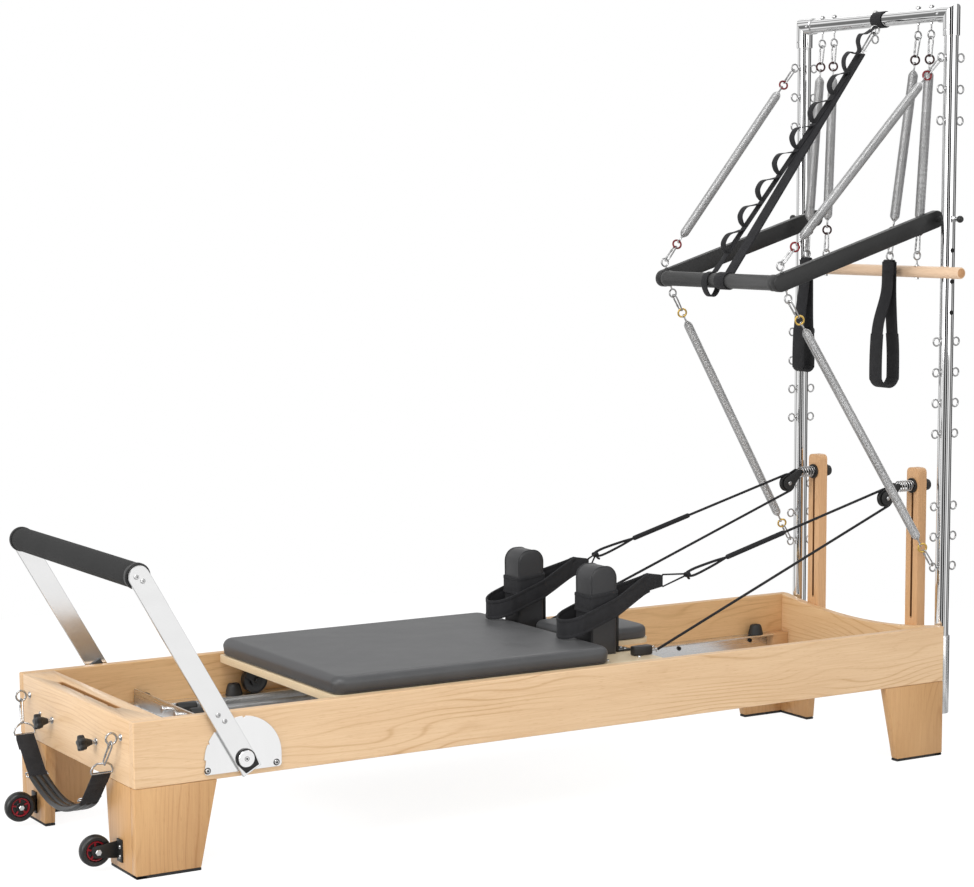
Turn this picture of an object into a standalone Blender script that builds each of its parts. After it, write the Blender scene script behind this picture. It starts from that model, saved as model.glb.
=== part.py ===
"""Pilates reformer with a spring tower, as an assembly of separate pieces.

All pieces are drawn in the frame's own coordinates: x runs from the outer face
of the foot end (0) to the tower, y is 0 on the mid-plane with the near side at
-y, and z is 0 on the floor. One empty then moves the whole to its reference
point, under the middle of its outer box. Lengths are metres.
"""
import math

import bmesh
import bpy
from mathutils import Matrix, Vector

# Clearances
GAP = 0.0003
RUNNING = 0.0006

# Bed frame
FRAME_LENGTH = 2.323
FRAME_WIDTH = 0.720
RAIL_TOP = 0.354
RAIL_HEIGHT = 0.150
BOARD = 0.026
BEAM_DEPTH = 0.080
SCOOP_DEPTH = 0.027
SLOT_X = 0.038
SLOT_WIDTH = 0.016
SLOT_LENGTH = FRAME_WIDTH - 0.350
SLOT_DEPTH = 0.070
SLOT_NOTCHES = (-0.147, 0.0, 0.147)
LEG_SIDE_TOP = 0.198
LEG_SIDE_FOOT = 0.154
LEG_END_TOP = 0.171
LEG_END_FOOT = 0.150
FOOT_PAD = 0.007
HALF_WIDTH = FRAME_WIDTH / 2
RAIL_INNER = HALF_WIDTH - BOARD
RAIL_BOTTOM = RAIL_TOP - RAIL_HEIGHT

# Tracks and the spring bar
TRACK_TOP = RAIL_TOP - 0.107
TRACK_FLANGE = 0.040
TRACK_WEB = 0.042
TRACK_WALL = 0.005
TRACK_START = 0.10
TRACK_END = FRAME_LENGTH - 0.083
SPRING_BAR_X = 0.285
SPRING_BAR_HEIGHT = 0.040
SPRING_BAR_WALL = 0.006
CARRIAGE_SPRING_Y = (-0.120, -0.040, 0.040, 0.120)
CARRIAGE_SPRING_RADIUS = 0.012
CARRIAGE_SPRING_Z = TRACK_TOP + 0.025
ANCHOR_X = 1.050

# Carriage
CARRIAGE_X = 0.5125
PLATFORM_LENGTH = 0.920
PLATFORM_CLEAR = 0.009
PLATFORM_HALF = RAIL_INNER - PLATFORM_CLEAR
PLATFORM_TOP = RAIL_TOP - 0.002
PLATFORM_WALL = 0.020
PAD_LENGTH = 0.765
PAD_THICK = 0.045
ROLLER_RADIUS = 0.033
ROLLER_WIDTH = 0.022
ROLLER_Y = RAIL_INNER - 0.025
ROLLER_INSET = 0.0875
ROLLER_PIN = 0.005
REST_X = 1.325
REST_Y = PLATFORM_HALF - 0.1475
REST_LENGTH = 0.076
REST_WIDTH = 0.075
REST_HEIGHT = 0.226
REST_POST_GAP = 0.012
HEADREST_X = 1.306
HEADREST_LENGTH = 0.230
HEADREST_HALF = PLATFORM_HALF - 0.200
CLEAT_Y = PLATFORM_HALF - 0.063
ROPE_RADIUS = 0.0035
CORD_RADIUS = 0.0025
LOOP_BACK = 1.452
LOOP_SLACK = 0.052
LOOP_FRONT_Z = PLATFORM_TOP + 0.0785
LOOP_SLOPE = 0.36
TAB_LENGTH = 0.042
KNOT_X = 1.578
KNOT_Z = PLATFORM_TOP + 0.1875

# Foot bar and its quadrant plates
PIVOT_X = 0.2602
PIVOT_Z = RAIL_TOP - 0.107
QUADRANT_RADIUS = 0.095
QUADRANT_WALL = 0.004
NOTCH_ANGLES = (88.0, 134.0, 154.0, 179.0)
ARM_ANGLE = 119.3
ARM_LENGTH = 0.4955
ARM_WIDTH = 0.050
ARM_WALL = 0.008
ARM_TAIL = 0.036
ARM_SPACER = 0.003
AXLE_RADIUS = 0.008
CATCH_LENGTH = 0.034
CATCH_WIDTH = 0.028
WASHER_RADIUS = 0.0215
FOOT_PAD_RADIUS = 0.0285
FOOT_TUBE_RADIUS = 0.0125

# Transport wheels, foot strap and clamp knobs at the foot end
WHEEL_RADIUS = 0.036
WHEEL_WIDTH = 0.024
WHEEL_STANDOFF = 0.050
WHEEL_Y = HALF_WIDTH - 0.1167
WHEEL_Z = 0.0493
CHEEK_WALL = 0.004
AXLE_BOLT = 0.004
STRAP_EYE_Y = HALF_WIDTH - 0.072
STRAP_EYE_Z = RAIL_TOP - 0.045
STRAP_INSET = 0.041
STRAP_EYE_X = -0.022
KNOB_Y = HALF_WIDTH - 0.220
KNOB_Z = RAIL_TOP - 0.081
KNOB_STANDOFF = 0.040
KNOB_RADIUS = 0.019
STUD_RADIUS = 0.004

# Tower
POST_SETBACK = 0.0265
POST_Y = HALF_WIDTH - 0.042
POST_RADIUS = 0.019
SLEEVE_RADIUS = 0.0225
SOCKET_BOTTOM = RAIL_BOTTOM - 0.096
SOCKET_TOP = RAIL_TOP - 0.032
TOP_TUBE_Z = 1.984
ELBOW_DROP = 0.059
ELBOW_REACH = 0.046
EYE_RADIUS = 0.0108
EYE_WIRE = 0.0023
EYE_SIDES = 6
EYE_OFFSET = 0.034
TOP_EYE_DROP = 0.051
EYE_PITCH = 0.0825
UPPER_EYES = [TOP_TUBE_Z - 0.1155 - EYE_PITCH * row for row in range(3)]
MIDDLE_EYES = [TOP_TUBE_Z - 0.8650 - EYE_PITCH * row for row in range(4)]
LOWER_EYES = [RAIL_TOP + 0.3215 - EYE_PITCH * row for row in range(3)]
POST_EYES_Z = (*UPPER_EYES, *MIDDLE_EYES, *LOWER_EYES)
OUTER_EYE_Y = POST_Y - 0.082
INNER_EYE_Y = POST_Y - 0.136
TOP_EYES_Y = (-OUTER_EYE_Y, -INNER_EYE_Y, 0.0, INNER_EYE_Y, OUTER_EYE_Y)
ADJUST_PITCH = 0.0825
ADJUST_HOLES = 3
RISER_Y = POST_Y - 0.0985
RISER_WIDTH = 0.050
RISER_DEPTH = 0.028
RISER_TOP = 0.772
RISER_CORNER = 0.013
RISER_SLOT = (RAIL_TOP + 0.0025, RISER_TOP - 0.034)
RISER_SLOT_WIDTH = 0.0086
POST_X = FRAME_LENGTH + POST_SETBACK

# Pulleys
PULLEY_X = FRAME_LENGTH - 0.096
PULLEY_Z = RISER_TOP - 0.077
PULLEY_BOLT_Z = RISER_TOP - 0.0485
SHEAVE_RADIUS = 0.024
SHEAVE_WIDTH = 0.012
CHEEK_Y = 0.0095
PULLEY_BOLT_RADIUS = 0.004
SHEAVE_PIN = 0.004

# Push bar on the posts
PUSH_PIVOT_Z = TOP_TUBE_Z - 0.5395
PUSH_DROP = 0.1625
PUSH_REACH = 0.5185
PUSH_ARM_Y = POST_Y - 0.054
PUSH_ARM_WALL = 0.022
PUSH_ARM_WIDTH = 0.046
PUSH_TUBE_RADIUS = 0.020
PUSH_EYE_INSET = 0.015
PUSH_EYE_UP = 0.041
PUSH_EYE_DOWN = 0.048
PIN_RADIUS = 0.004
PIN_REACH = 0.010
PIN_TRAVEL = 0.010

# Springs with their hooks and rings
HOOK_LENGTH = 0.052
HOOK_HALF = 0.0085
HOOK_WIRE = 0.0022
SEAT_PLAY = 0.00035
LINK_RADIUS = 0.0110
LINK_WIRE = 0.0023
LINK_SIDES = 8
STRAP_EYE_RADIUS = 0.0125
STRAP_EYE_WIRE = 0.0026
RING_RADIUS = 0.0115
RING_WIRE = 0.0026
SPRING_TAIL = 0.020
SPRING_WIRE = 0.0030
PUSH_SPRING_RADIUS = 0.0125
HANGING_SPRING_RADIUS = 0.0135
CURL_PITCH = 0.140
POINTS_PER_CURL = 8

# Roll-down bar and hand loops, in front of the posts
ROLL_BAR_FORWARD = 0.037
ROLL_BAR_Z = TOP_TUBE_Z - 0.680
ROLL_BAR_RADIUS = 0.0155
ROLL_BAR_NEAR = -(POST_Y + 0.0985)
ROLL_BAR_LENGTH = POST_Y * 2 + 0.024
ROLL_EYE_RISE = 0.043
ROLL_BAR_EYES_Y = (-OUTER_EYE_Y, INNER_EYE_Y - 0.022)
HAND_LOOP_FORWARD = 0.078
HAND_LOOP_Y = (0.011 - INNER_EYE_Y, INNER_EYE_Y + 0.014)
HAND_RING_Z = TOP_TUBE_Z - 0.639
HAND_LOOP_DROP = 0.345

# Stretch strap from the top tube to the push bar
STRETCH_WIDTH = 0.040
STRETCH_WALL = 0.006
STRETCH_Y = -0.024

# Reference point: under the middle of the outer box
FRONT_REACH = WHEEL_STANDOFF + WHEEL_RADIUS
REAR_REACH = POST_X + EYE_OFFSET + EYE_RADIUS + EYE_WIRE
PIVOT_CAP = 0.010
SIDE_REACH = HALF_WIDTH + QUADRANT_WALL + ARM_SPACER + ARM_WALL + PIVOT_CAP
FOOT_FACE_X = -(REAR_REACH - FRONT_REACH) / 2
MID_PLANE_Y = -(SIDE_REACH + ROLL_BAR_NEAR) / 2

MATERIALS = {
    "light_maple": ((0.73, 0.48, 0.23), 0.45, 0.0),
    "riser_wood": ((0.61, 0.36, 0.16), 0.5, 0.0),
    "dowel_wood": ((0.75, 0.55, 0.34), 0.5, 0.0),
    "plywood": ((0.76, 0.64, 0.42), 0.5, 0.0),
    "vinyl": ((0.045, 0.045, 0.048), 0.55, 0.0),
    "foam": ((0.03, 0.03, 0.032), 0.8, 0.0),
    "webbing": ((0.02, 0.02, 0.021), 0.9, 0.0),
    "black_metal": ((0.02, 0.02, 0.02), 0.4, 0.6),
    "black_plastic": ((0.015, 0.015, 0.015), 0.4, 0.0),
    "black_aluminium": ((0.025, 0.025, 0.027), 0.4, 0.5),
    "chrome": ((0.8, 0.8, 0.82), 0.12, 1.0),
    "stainless": ((0.72, 0.72, 0.72), 0.35, 1.0),
    "aluminium": ((0.62, 0.63, 0.65), 0.4, 1.0),
    "spring_steel": ((0.55, 0.55, 0.57), 0.25, 1.0),
    "tyre_rubber": ((0.02, 0.02, 0.022), 0.6, 0.0),
}

for existing in list(bpy.data.objects):
    bpy.data.objects.remove(existing)

PARTS = bpy.data.collections.new("pilates_reformer_with_tower")
WORK = bpy.data.collections.new("cutters")
for collection in (PARTS, WORK):
    bpy.context.scene.collection.children.link(collection)


# Basic shapes

def holder(name, bm):
    """Put a bmesh in a new object in the work collection."""
    mesh = bpy.data.meshes.new(name)
    bm.to_mesh(mesh)
    bm.free()
    obj = bpy.data.objects.new(name, mesh)
    WORK.objects.link(obj)
    return obj


def bake(obj):
    """Replace an object by its evaluated mesh, with loose caps welded."""
    bpy.context.view_layer.update()
    evaluated = obj.evaluated_get(bpy.context.evaluated_depsgraph_get())
    mesh = bpy.data.meshes.new_from_object(evaluated)
    bm = bmesh.new()
    bm.from_mesh(mesh)
    bm.transform(obj.matrix_world)
    bmesh.ops.remove_doubles(bm, verts=bm.verts, dist=0.00002)
    bmesh.ops.dissolve_degenerate(bm, edges=bm.edges, dist=0.00001)
    bmesh.ops.recalc_face_normals(bm, faces=bm.faces)
    name = obj.name
    bpy.data.objects.remove(obj)
    bpy.data.meshes.remove(mesh)
    return holder(name, bm)


def box(lo, hi, bevel=0.0):
    """Box between two corners, with its edges bevelled if asked."""
    lo, hi = Vector(lo), Vector(hi)
    bm = bmesh.new()
    size = Matrix.Diagonal((*(hi - lo), 1.0))
    bmesh.ops.create_cube(bm, size=1.0, matrix=Matrix.Translation((lo + hi) / 2) @ size)
    if bevel:
        bmesh.ops.bevel(bm, geom=bm.edges, offset=bevel, segments=1, affect="EDGES")
    return holder("box", bm)


def rod(start, end, radius, sides=12, end_radius=None):
    """Cylinder or cone from start to end."""
    start, end = Vector(start), Vector(end)
    turn = (end - start).to_track_quat("Z", "Y").to_matrix().to_4x4()
    bm = bmesh.new()
    bmesh.ops.create_cone(
        bm, cap_ends=True, segments=sides, radius1=radius,
        radius2=radius if end_radius is None else end_radius,
        depth=(end - start).length, matrix=Matrix.Translation((start + end) / 2) @ turn)
    return holder("rod", bm)


def ball(centre, radius, rings=6, sides=8):
    """Sphere."""
    bm = bmesh.new()
    bmesh.ops.create_uvsphere(
        bm, u_segments=sides, v_segments=rings, radius=radius,
        matrix=Matrix.Translation(Vector(centre)))
    return holder("ball", bm)


def tube(points, radius, resolution=1, cyclic=False):
    """Round wire along the points, 4 + 2 * resolution sides."""
    curve = bpy.data.curves.new("tube", "CURVE")
    curve.dimensions = "3D"
    curve.bevel_depth = radius
    curve.bevel_resolution = resolution
    curve.use_fill_caps = True
    spline = curve.splines.new("POLY")
    spline.points.add(len(points) - 1)
    for slot, point in zip(spline.points, points):
        slot.co = (*point, 1.0)
    spline.use_cyclic_u = cyclic
    obj = bpy.data.objects.new("tube", curve)
    WORK.objects.link(obj)
    return bake(obj)


def plate(outline, thickness, place):
    """Flat outline extruded by its thickness about the plane that place sets."""
    curve = bpy.data.curves.new("plate", "CURVE")
    curve.dimensions = "2D"
    curve.fill_mode = "BOTH"
    curve.extrude = thickness / 2
    spline = curve.splines.new("POLY")
    spline.points.add(len(outline) - 1)
    for slot, (u, v) in zip(spline.points, outline):
        slot.co = (u, v, 0.0, 1.0)
    spline.use_cyclic_u = True
    obj = bpy.data.objects.new("plate", curve)
    WORK.objects.link(obj)
    obj.matrix_world = place
    return bake(obj)


def band(outline, width, thickness, place):
    """Strap: a closed line in a plane, widened across it and given thickness."""
    curve = bpy.data.curves.new("band", "CURVE")
    curve.dimensions = "2D"
    curve.fill_mode = "NONE"
    curve.extrude = width / 2
    spline = curve.splines.new("POLY")
    spline.points.add(len(outline) - 1)
    for slot, (u, v) in zip(spline.points, outline):
        slot.co = (u, v, 0.0, 1.0)
    spline.use_cyclic_u = True
    obj = bpy.data.objects.new("band", curve)
    WORK.objects.link(obj)
    obj.matrix_world = place
    sheet = bake(obj)
    shell = sheet.modifiers.new("thickness", "SOLIDIFY")
    shell.thickness = thickness
    shell.offset = 0.0
    shell.use_even_offset = True
    return bake(sheet)


def turned(profile, centre, axis, steps=14):
    """Closed profile of (radius, along) points turned about an axis."""
    bm = bmesh.new()
    verts = [bm.verts.new((radius, 0.0, along)) for radius, along in profile]
    for first, second in zip(verts, verts[1:] + verts[:1]):
        bm.edges.new((first, second))
    obj = holder("turned", bm)
    screw = obj.modifiers.new("turn", "SCREW")
    screw.steps = steps
    screw.render_steps = steps
    screw.use_merge_vertices = True
    screw.merge_threshold = 0.00001
    turn = Vector(axis).to_track_quat("Z", "Y").to_matrix().to_4x4()
    obj.matrix_world = Matrix.Translation(Vector(centre)) @ turn
    return bake(obj)


def combine(obj, others, operation):
    """Boolean of one object with a group of others, which are used up."""
    for other in others:
        change = obj.modifiers.new("combine", "BOOLEAN")
        change.operation = operation
        change.solver = "EXACT"
        change.object = other
    result = bake(obj)
    for other in others:
        bpy.data.objects.remove(other)
    return result


def fuse(obj, *others):
    """Join overlapping pieces into one solid."""
    return combine(obj, others, "UNION")


def cut(obj, *others):
    """Take the others out of the first."""
    return combine(obj, others, "DIFFERENCE")


def bevelled(obj, width, segments=1):
    """Round the sharp edges of a finished shape."""
    edge = obj.modifiers.new("edges", "BEVEL")
    edge.width = width
    edge.segments = segments
    edge.limit_method = "ANGLE"
    edge.angle_limit = math.radians(50)
    return bake(obj)


def cushion(lo, hi, edge, crown, drawn_in):
    """Stuffed pad: a coarse cage with a raised middle and drawn-in lower sides."""
    lo, hi = Vector(lo), Vector(hi)
    centre = (lo + hi) / 2
    bm = bmesh.new()
    size = Matrix.Diagonal((*(hi - lo), 1.0))
    bmesh.ops.create_cube(bm, size=1.0, matrix=Matrix.Translation(centre) @ size)
    cuts = [(axis, lo[axis] + edge) for axis in (0, 1)]
    cuts += [(axis, hi[axis] - edge) for axis in (0, 1)]
    cuts += [(2, lo.z + edge * 0.3)]
    for axis, value in cuts:
        normal = Vector((axis == 0, axis == 1, axis == 2))
        geom = bm.verts[:] + bm.edges[:] + bm.faces[:]
        bmesh.ops.bisect_plane(bm, geom=geom, plane_co=normal * value, plane_no=normal)
    for vert in bm.verts:
        at_side = [abs(vert.co[axis] - limit[axis]) < 1e-6 for axis in (0, 1) for limit in (lo, hi)]
        if vert.co.z < lo.z + edge * 0.31 and any(at_side):
            inward = (centre - vert.co) * Vector((1, 1, 0))
            vert.co += inward.normalized() * drawn_in
        if vert.co.z > hi.z - 1e-6 and not any(at_side):
            vert.co.z += crown
        elif vert.co.z > hi.z - 1e-6:
            vert.co.z -= crown * 0.5
    obj = holder("cushion", bm)
    soft = obj.modifiers.new("soft", "SUBSURF")
    soft.levels = 1
    soft.render_levels = 1
    return bake(obj)


def flat_base(obj, height):
    """Cut a soft shape off flat just above its seat."""
    below = box((-5.0, -5.0, height - 1.0), (5.0, 5.0, height))
    return cut(obj, below)


# Places and paths

def side_plane(y):
    """Matrix of the vertical plane along the bed at y: u is x, v is z."""
    return Matrix.Translation((0.0, y, 0.0)) @ Matrix.Rotation(math.pi / 2, 4, "X")


def end_plane(x):
    """Matrix of the vertical plane across the bed at x: u is y, v is z."""
    upright = Matrix(((0, 0, 1, 0), (1, 0, 0, 0), (0, 1, 0, 0), (0, 0, 0, 1)))
    return Matrix.Translation((x, 0.0, 0.0)) @ upright


def arc(centre, radius, start, end, count):
    """Points on an arc in a plane, angles in degrees."""
    angles = [math.radians(start + (end - start) * i / (count - 1)) for i in range(count)]
    return [(centre[0] + radius * math.cos(a), centre[1] + radius * math.sin(a)) for a in angles]


def ring(centre, radius, wire, sides=8, across=(0.0, 1.0, 0.0), resolution=0):
    """Ring of wire whose hole looks along across."""
    turn = Vector(across).to_track_quat("Z", "Y").to_matrix()
    circle = [turn @ Vector((*point, 0.0)) for point in arc((0, 0), radius, 0, 360, sides + 1)[:-1]]
    return tube([Vector(centre) + point for point in circle], wire, resolution, cyclic=True)


def eyebolt(centre, toward, length, radius=EYE_RADIUS, wire=EYE_WIRE, sides=EYE_SIDES):
    """Eye in the plane along the bed with a shank of the given length."""
    centre = Vector(centre)
    toward = Vector(toward).normalized()
    shank = rod(centre + toward * radius, centre + toward * (radius + length), wire, sides=4)
    return [ring(centre, radius, wire, sides), shank]


# Bodies: each has an empty on its joint's axis

ROOT = bpy.data.objects.new("reformer", None)
ROOT.location = (FOOT_FACE_X, MID_PLANE_Y, 0.0)
PARTS.objects.link(ROOT)


def body(name, pivot):
    """Empty at a joint, under the root."""
    empty = bpy.data.objects.new(name, None)
    empty.parent = ROOT
    empty.location = pivot
    PARTS.objects.link(empty)
    return empty


def material(name):
    """Principled material by name, made once."""
    if name in bpy.data.materials:
        return bpy.data.materials[name]
    colour, roughness, metallic = MATERIALS[name]
    result = bpy.data.materials.new(name)
    result.use_nodes = True
    shader = result.node_tree.nodes["Principled BSDF"]
    shader.inputs["Base Color"].default_value = (*colour, 1.0)
    shader.inputs["Roughness"].default_value = roughness
    shader.inputs["Metallic"].default_value = metallic
    return result


def finish(obj, name, look, parent=None, smooth=35):
    """Name a finished piece, give it its material and hang it on its body."""
    parent = parent or ROOT
    offset = Vector() if parent is ROOT else Vector(parent.location)
    obj.data.transform(Matrix.Translation(-offset))
    obj.name = name
    obj.data.name = name
    obj.data.materials.clear()
    obj.data.materials.append(material(look))
    obj.data.shade_smooth()
    obj.data.set_sharp_from_angle(angle=math.radians(smooth))
    WORK.objects.unlink(obj)
    PARTS.objects.link(obj)
    obj.parent = parent
    return obj


SIDES = (("near", -1.0), ("far", 1.0))
ENDS = (("foot", 0.0, 1.0), ("tower", FRAME_LENGTH, -1.0))


# Bed frame

def side_rails():
    """Two side boards the length of the bed, softened along their edges."""
    for side, sign in SIDES:
        ys = sorted((sign * HALF_WIDTH, sign * RAIL_INNER))
        rail = box((0.0, ys[0], RAIL_BOTTOM), (FRAME_LENGTH, ys[1], RAIL_TOP), bevel=0.002)
        finish(rail, f"{side}_side_rail", "light_maple")


def foot_end_board():
    """Deep beam at the foot end with the clamp slot and the strap's eyebolts."""
    across = RAIL_INNER - GAP
    beam = box((0.0, -across, RAIL_BOTTOM), (BEAM_DEPTH, across, RAIL_TOP), bevel=0.002)
    slot = box((SLOT_X - SLOT_WIDTH / 2, -SLOT_LENGTH / 2, RAIL_TOP - SLOT_DEPTH),
               (SLOT_X + SLOT_WIDTH / 2, SLOT_LENGTH / 2, RAIL_TOP + 0.01))
    notch_x = SLOT_X - SLOT_WIDTH / 2
    notches = [box((notch_x - 0.004, y - 0.006, RAIL_TOP - 0.030), (notch_x + 0.002, y + 0.006, RAIL_TOP + 0.01))
               for y in SLOT_NOTCHES]
    studs = [rod((-0.01, sign * KNOB_Y, KNOB_Z), (SLOT_X, sign * KNOB_Y, KNOB_Z), STUD_RADIUS + RUNNING, sides=8)
             for _, sign in SIDES]
    beam = cut(beam, slot, *notches, *studs)
    eyes = []
    for _, sign in SIDES:
        eyes += eyebolt((STRAP_EYE_X, sign * STRAP_EYE_Y, STRAP_EYE_Z), (1, 0, 0), 0.020, STRAP_EYE_RADIUS, STRAP_EYE_WIRE, LINK_SIDES)
    finish(fuse(beam, *eyes), "foot_end_board", "light_maple")


def tower_end_board():
    """Board at the tower end with its top edge scooped in a shallow arc."""
    across = RAIL_INNER - GAP
    scoop_radius = (across ** 2 + SCOOP_DEPTH ** 2) / (2 * SCOOP_DEPTH)
    half_angle = math.degrees(math.asin(across / scoop_radius))
    top = arc((0.0, RAIL_TOP - SCOOP_DEPTH + scoop_radius), scoop_radius, 270 + half_angle, 270 - half_angle, 17)
    outline = [(-across, RAIL_BOTTOM), (across, RAIL_BOTTOM)] + top
    board = plate(outline, BOARD, end_plane(FRAME_LENGTH - BOARD / 2))
    finish(board, "tower_end_board", "light_maple")


def legs():
    """Four corner legs of two tapered boards each, on a rubber pad."""
    for end, x0, inward in ENDS:
        for side, sign in SIDES:
            top = RAIL_BOTTOM - GAP
            outer = sign * HALF_WIDTH

            def side_outline(low, high):
                share = [(z - FOOT_PAD) / (top - FOOT_PAD) for z in (low, high)]
                reach = [LEG_SIDE_FOOT + (LEG_SIDE_TOP - LEG_SIDE_FOOT) * s for s in share]
                return [(x0, low), (x0 + inward * reach[0], low), (x0 + inward * reach[1], high), (x0, high)]

            def end_outline(low, high):
                share = [(z - FOOT_PAD) / (top - FOOT_PAD) for z in (low, high)]
                reach = [LEG_END_FOOT + (LEG_END_TOP - LEG_END_FOOT) * s for s in share]
                return [(outer, low), (outer - sign * reach[0], low), (outer - sign * reach[1], high), (outer, high)]

            side_board = plate(side_outline(0.0, top), BOARD, side_plane(sign * (HALF_WIDTH - BOARD / 2)))
            end_board = plate(end_outline(0.0, top), BOARD, end_plane(x0 + inward * BOARD / 2))
            finish(fuse(side_board, end_board), f"{end}_leg_{side}", "light_maple")


def tracks():
    """Aluminium angle tracks on the rails' inner faces, with a wooden spacer at the end."""
    for side, sign in SIDES:
        outer = RAIL_INNER - GAP
        outline = [(sign * outer, TRACK_TOP), (sign * (outer - TRACK_FLANGE), TRACK_TOP),
                   (sign * (outer - TRACK_FLANGE), TRACK_TOP - TRACK_WALL),
                   (sign * (outer - TRACK_WALL), TRACK_TOP - TRACK_WALL),
                   (sign * (outer - TRACK_WALL), TRACK_TOP - TRACK_WEB), (sign * outer, TRACK_TOP - TRACK_WEB)]
        track = plate(outline, TRACK_END - TRACK_START, end_plane((TRACK_START + TRACK_END) / 2))
        ys = sorted((sign * outer, sign * (outer - 0.034)))
        spacer = box((TRACK_END - 0.004, ys[0], TRACK_TOP - 0.040), (FRAME_LENGTH - BOARD - GAP, ys[1], TRACK_TOP - 0.001))
        finish(fuse(track, spacer), f"{side}_track", "aluminium")


def spring_bar():
    """Steel bar across the tracks with a hook peg for each carriage spring."""
    half = RAIL_INNER - TRACK_WALL - 2 * GAP
    low = TRACK_TOP + GAP
    bar = box((SPRING_BAR_X - SPRING_BAR_WALL / 2, -half, low),
              (SPRING_BAR_X + SPRING_BAR_WALL / 2, half, low + SPRING_BAR_HEIGHT), bevel=0.001)
    feet = []
    for _, sign in SIDES:
        ys = sorted((sign * (half - TRACK_FLANGE + 0.008), sign * half))
        feet.append(box((SPRING_BAR_X - 0.030, ys[0], low), (SPRING_BAR_X + 0.030, ys[1], low + 0.006)))
    pegs = [rod((SPRING_BAR_X - 0.014, y, CARRIAGE_SPRING_Z), (SPRING_BAR_X, y, CARRIAGE_SPRING_Z), 0.006, sides=6)
            for y in CARRIAGE_SPRING_Y]
    heads = [rod((SPRING_BAR_X - 0.018, y, CARRIAGE_SPRING_Z), (SPRING_BAR_X - 0.014, y, CARRIAGE_SPRING_Z), 0.010, sides=8)
             for y in CARRIAGE_SPRING_Y]
    finish(fuse(bar, *feet, *pegs, *heads), "spring_bar", "stainless")


# Foot bar

def quadrant_plates():
    """Half-round steel plates on the rails, notched for the foot bar's catch."""
    bottom = PIVOT_Z - 0.031
    corner = 0.008
    for side, sign in SIDES:
        outline = arc((PIVOT_X, PIVOT_Z), QUADRANT_RADIUS, 0, 180, 17)
        left, right = PIVOT_X - QUADRANT_RADIUS, PIVOT_X + QUADRANT_RADIUS
        outline += arc((left + corner, bottom + corner), corner, 180, 270, 4)
        outline += arc((right - corner, bottom + corner), corner, 270, 360, 4)
        middle = sign * (HALF_WIDTH + GAP + QUADRANT_WALL / 2)
        quadrant = plate(outline, QUADRANT_WALL, side_plane(middle))
        notches = []
        for angle in (*NOTCH_ANGLES, ARM_ANGLE):
            turn = math.radians(angle)
            x = PIVOT_X + QUADRANT_RADIUS * math.cos(turn)
            z = PIVOT_Z + QUADRANT_RADIUS * math.sin(turn)
            notches.append(rod((x, middle - 0.01, z), (x, middle + 0.01, z), 0.0042, sides=6))
        quadrant = cut(quadrant, *notches)
        seat = rod((PIVOT_X, middle, PIVOT_Z),
                   (PIVOT_X, sign * (HALF_WIDTH + QUADRANT_WALL + ARM_SPACER), PIVOT_Z), WASHER_RADIUS, sides=12)
        axle_end = sign * (HALF_WIDTH + QUADRANT_WALL + ARM_SPACER + ARM_WALL + 2 * GAP)
        axle = rod((PIVOT_X, middle, PIVOT_Z), (PIVOT_X, axle_end, PIVOT_Z), AXLE_RADIUS, sides=10)
        cap = rod((PIVOT_X, axle_end, PIVOT_Z), (PIVOT_X, sign * SIDE_REACH, PIVOT_Z), WASHER_RADIUS, sides=12,
                  end_radius=WASHER_RADIUS - 0.0025)
        finish(fuse(quadrant, seat, axle, cap), f"{side}_quadrant_plate", "stainless")


def along_arm(distance, offset=0.0):
    """Point in the side plane at a distance up the foot bar's arm."""
    turn = math.radians(ARM_ANGLE)
    return (PIVOT_X + distance * math.cos(turn) - offset * math.sin(turn),
            PIVOT_Z + distance * math.sin(turn) + offset * math.cos(turn))


def foot_bar(carrier):
    """Two flat arms joined by the tube that carries the padded bar."""
    bar_x, bar_z = along_arm(ARM_LENGTH)
    inner = HALF_WIDTH + QUADRANT_WALL + ARM_SPACER + GAP
    reach = inner + ARM_WALL / 2
    tube_piece = rod((bar_x, -reach, bar_z), (bar_x, reach, bar_z), FOOT_TUBE_RADIUS)
    arms = []
    for _, sign in SIDES:
        half = ARM_WIDTH / 2
        outline = [along_arm(-ARM_TAIL, -half), along_arm(-ARM_TAIL, half)]
        outline += arc((bar_x, bar_z), half, ARM_ANGLE + 90, ARM_ANGLE - 90, 9)
        middle = sign * (inner + ARM_WALL / 2)
        arm = plate(outline, ARM_WALL, side_plane(middle))
        eye = rod((PIVOT_X, middle - 0.02, PIVOT_Z), (PIVOT_X, middle + 0.02, PIVOT_Z), AXLE_RADIUS + RUNNING)
        arm = cut(arm, eye)
        low, high = QUADRANT_RADIUS + RUNNING, QUADRANT_RADIUS + CATCH_LENGTH
        catch_outline = [along_arm(low, -CATCH_WIDTH / 2), along_arm(high, -CATCH_WIDTH / 2),
                         along_arm(high, CATCH_WIDTH / 2), along_arm(low, CATCH_WIDTH / 2)]
        catch_wall = QUADRANT_WALL + ARM_SPACER
        catch = plate(catch_outline, catch_wall, side_plane(sign * (inner + GAP - catch_wall / 2)))
        arms += [arm, catch]
    finish(fuse(tube_piece, *arms), "foot_bar", "stainless", carrier)
    end = inner - GAP * 2
    ring_width = 0.010
    profile = [(FOOT_TUBE_RADIUS + GAP, -end), (FOOT_PAD_RADIUS + 0.0015, -end), (FOOT_PAD_RADIUS, -end + ring_width),
               (FOOT_PAD_RADIUS, end - ring_width), (FOOT_PAD_RADIUS + 0.0015, end), (FOOT_TUBE_RADIUS + GAP, end)]
    pad = turned(profile, (bar_x, 0.0, bar_z), (0, 1, 0), steps=16)
    finish(pad, "foot_bar_pad", "foam", carrier)


# Foot-end fittings

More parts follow.
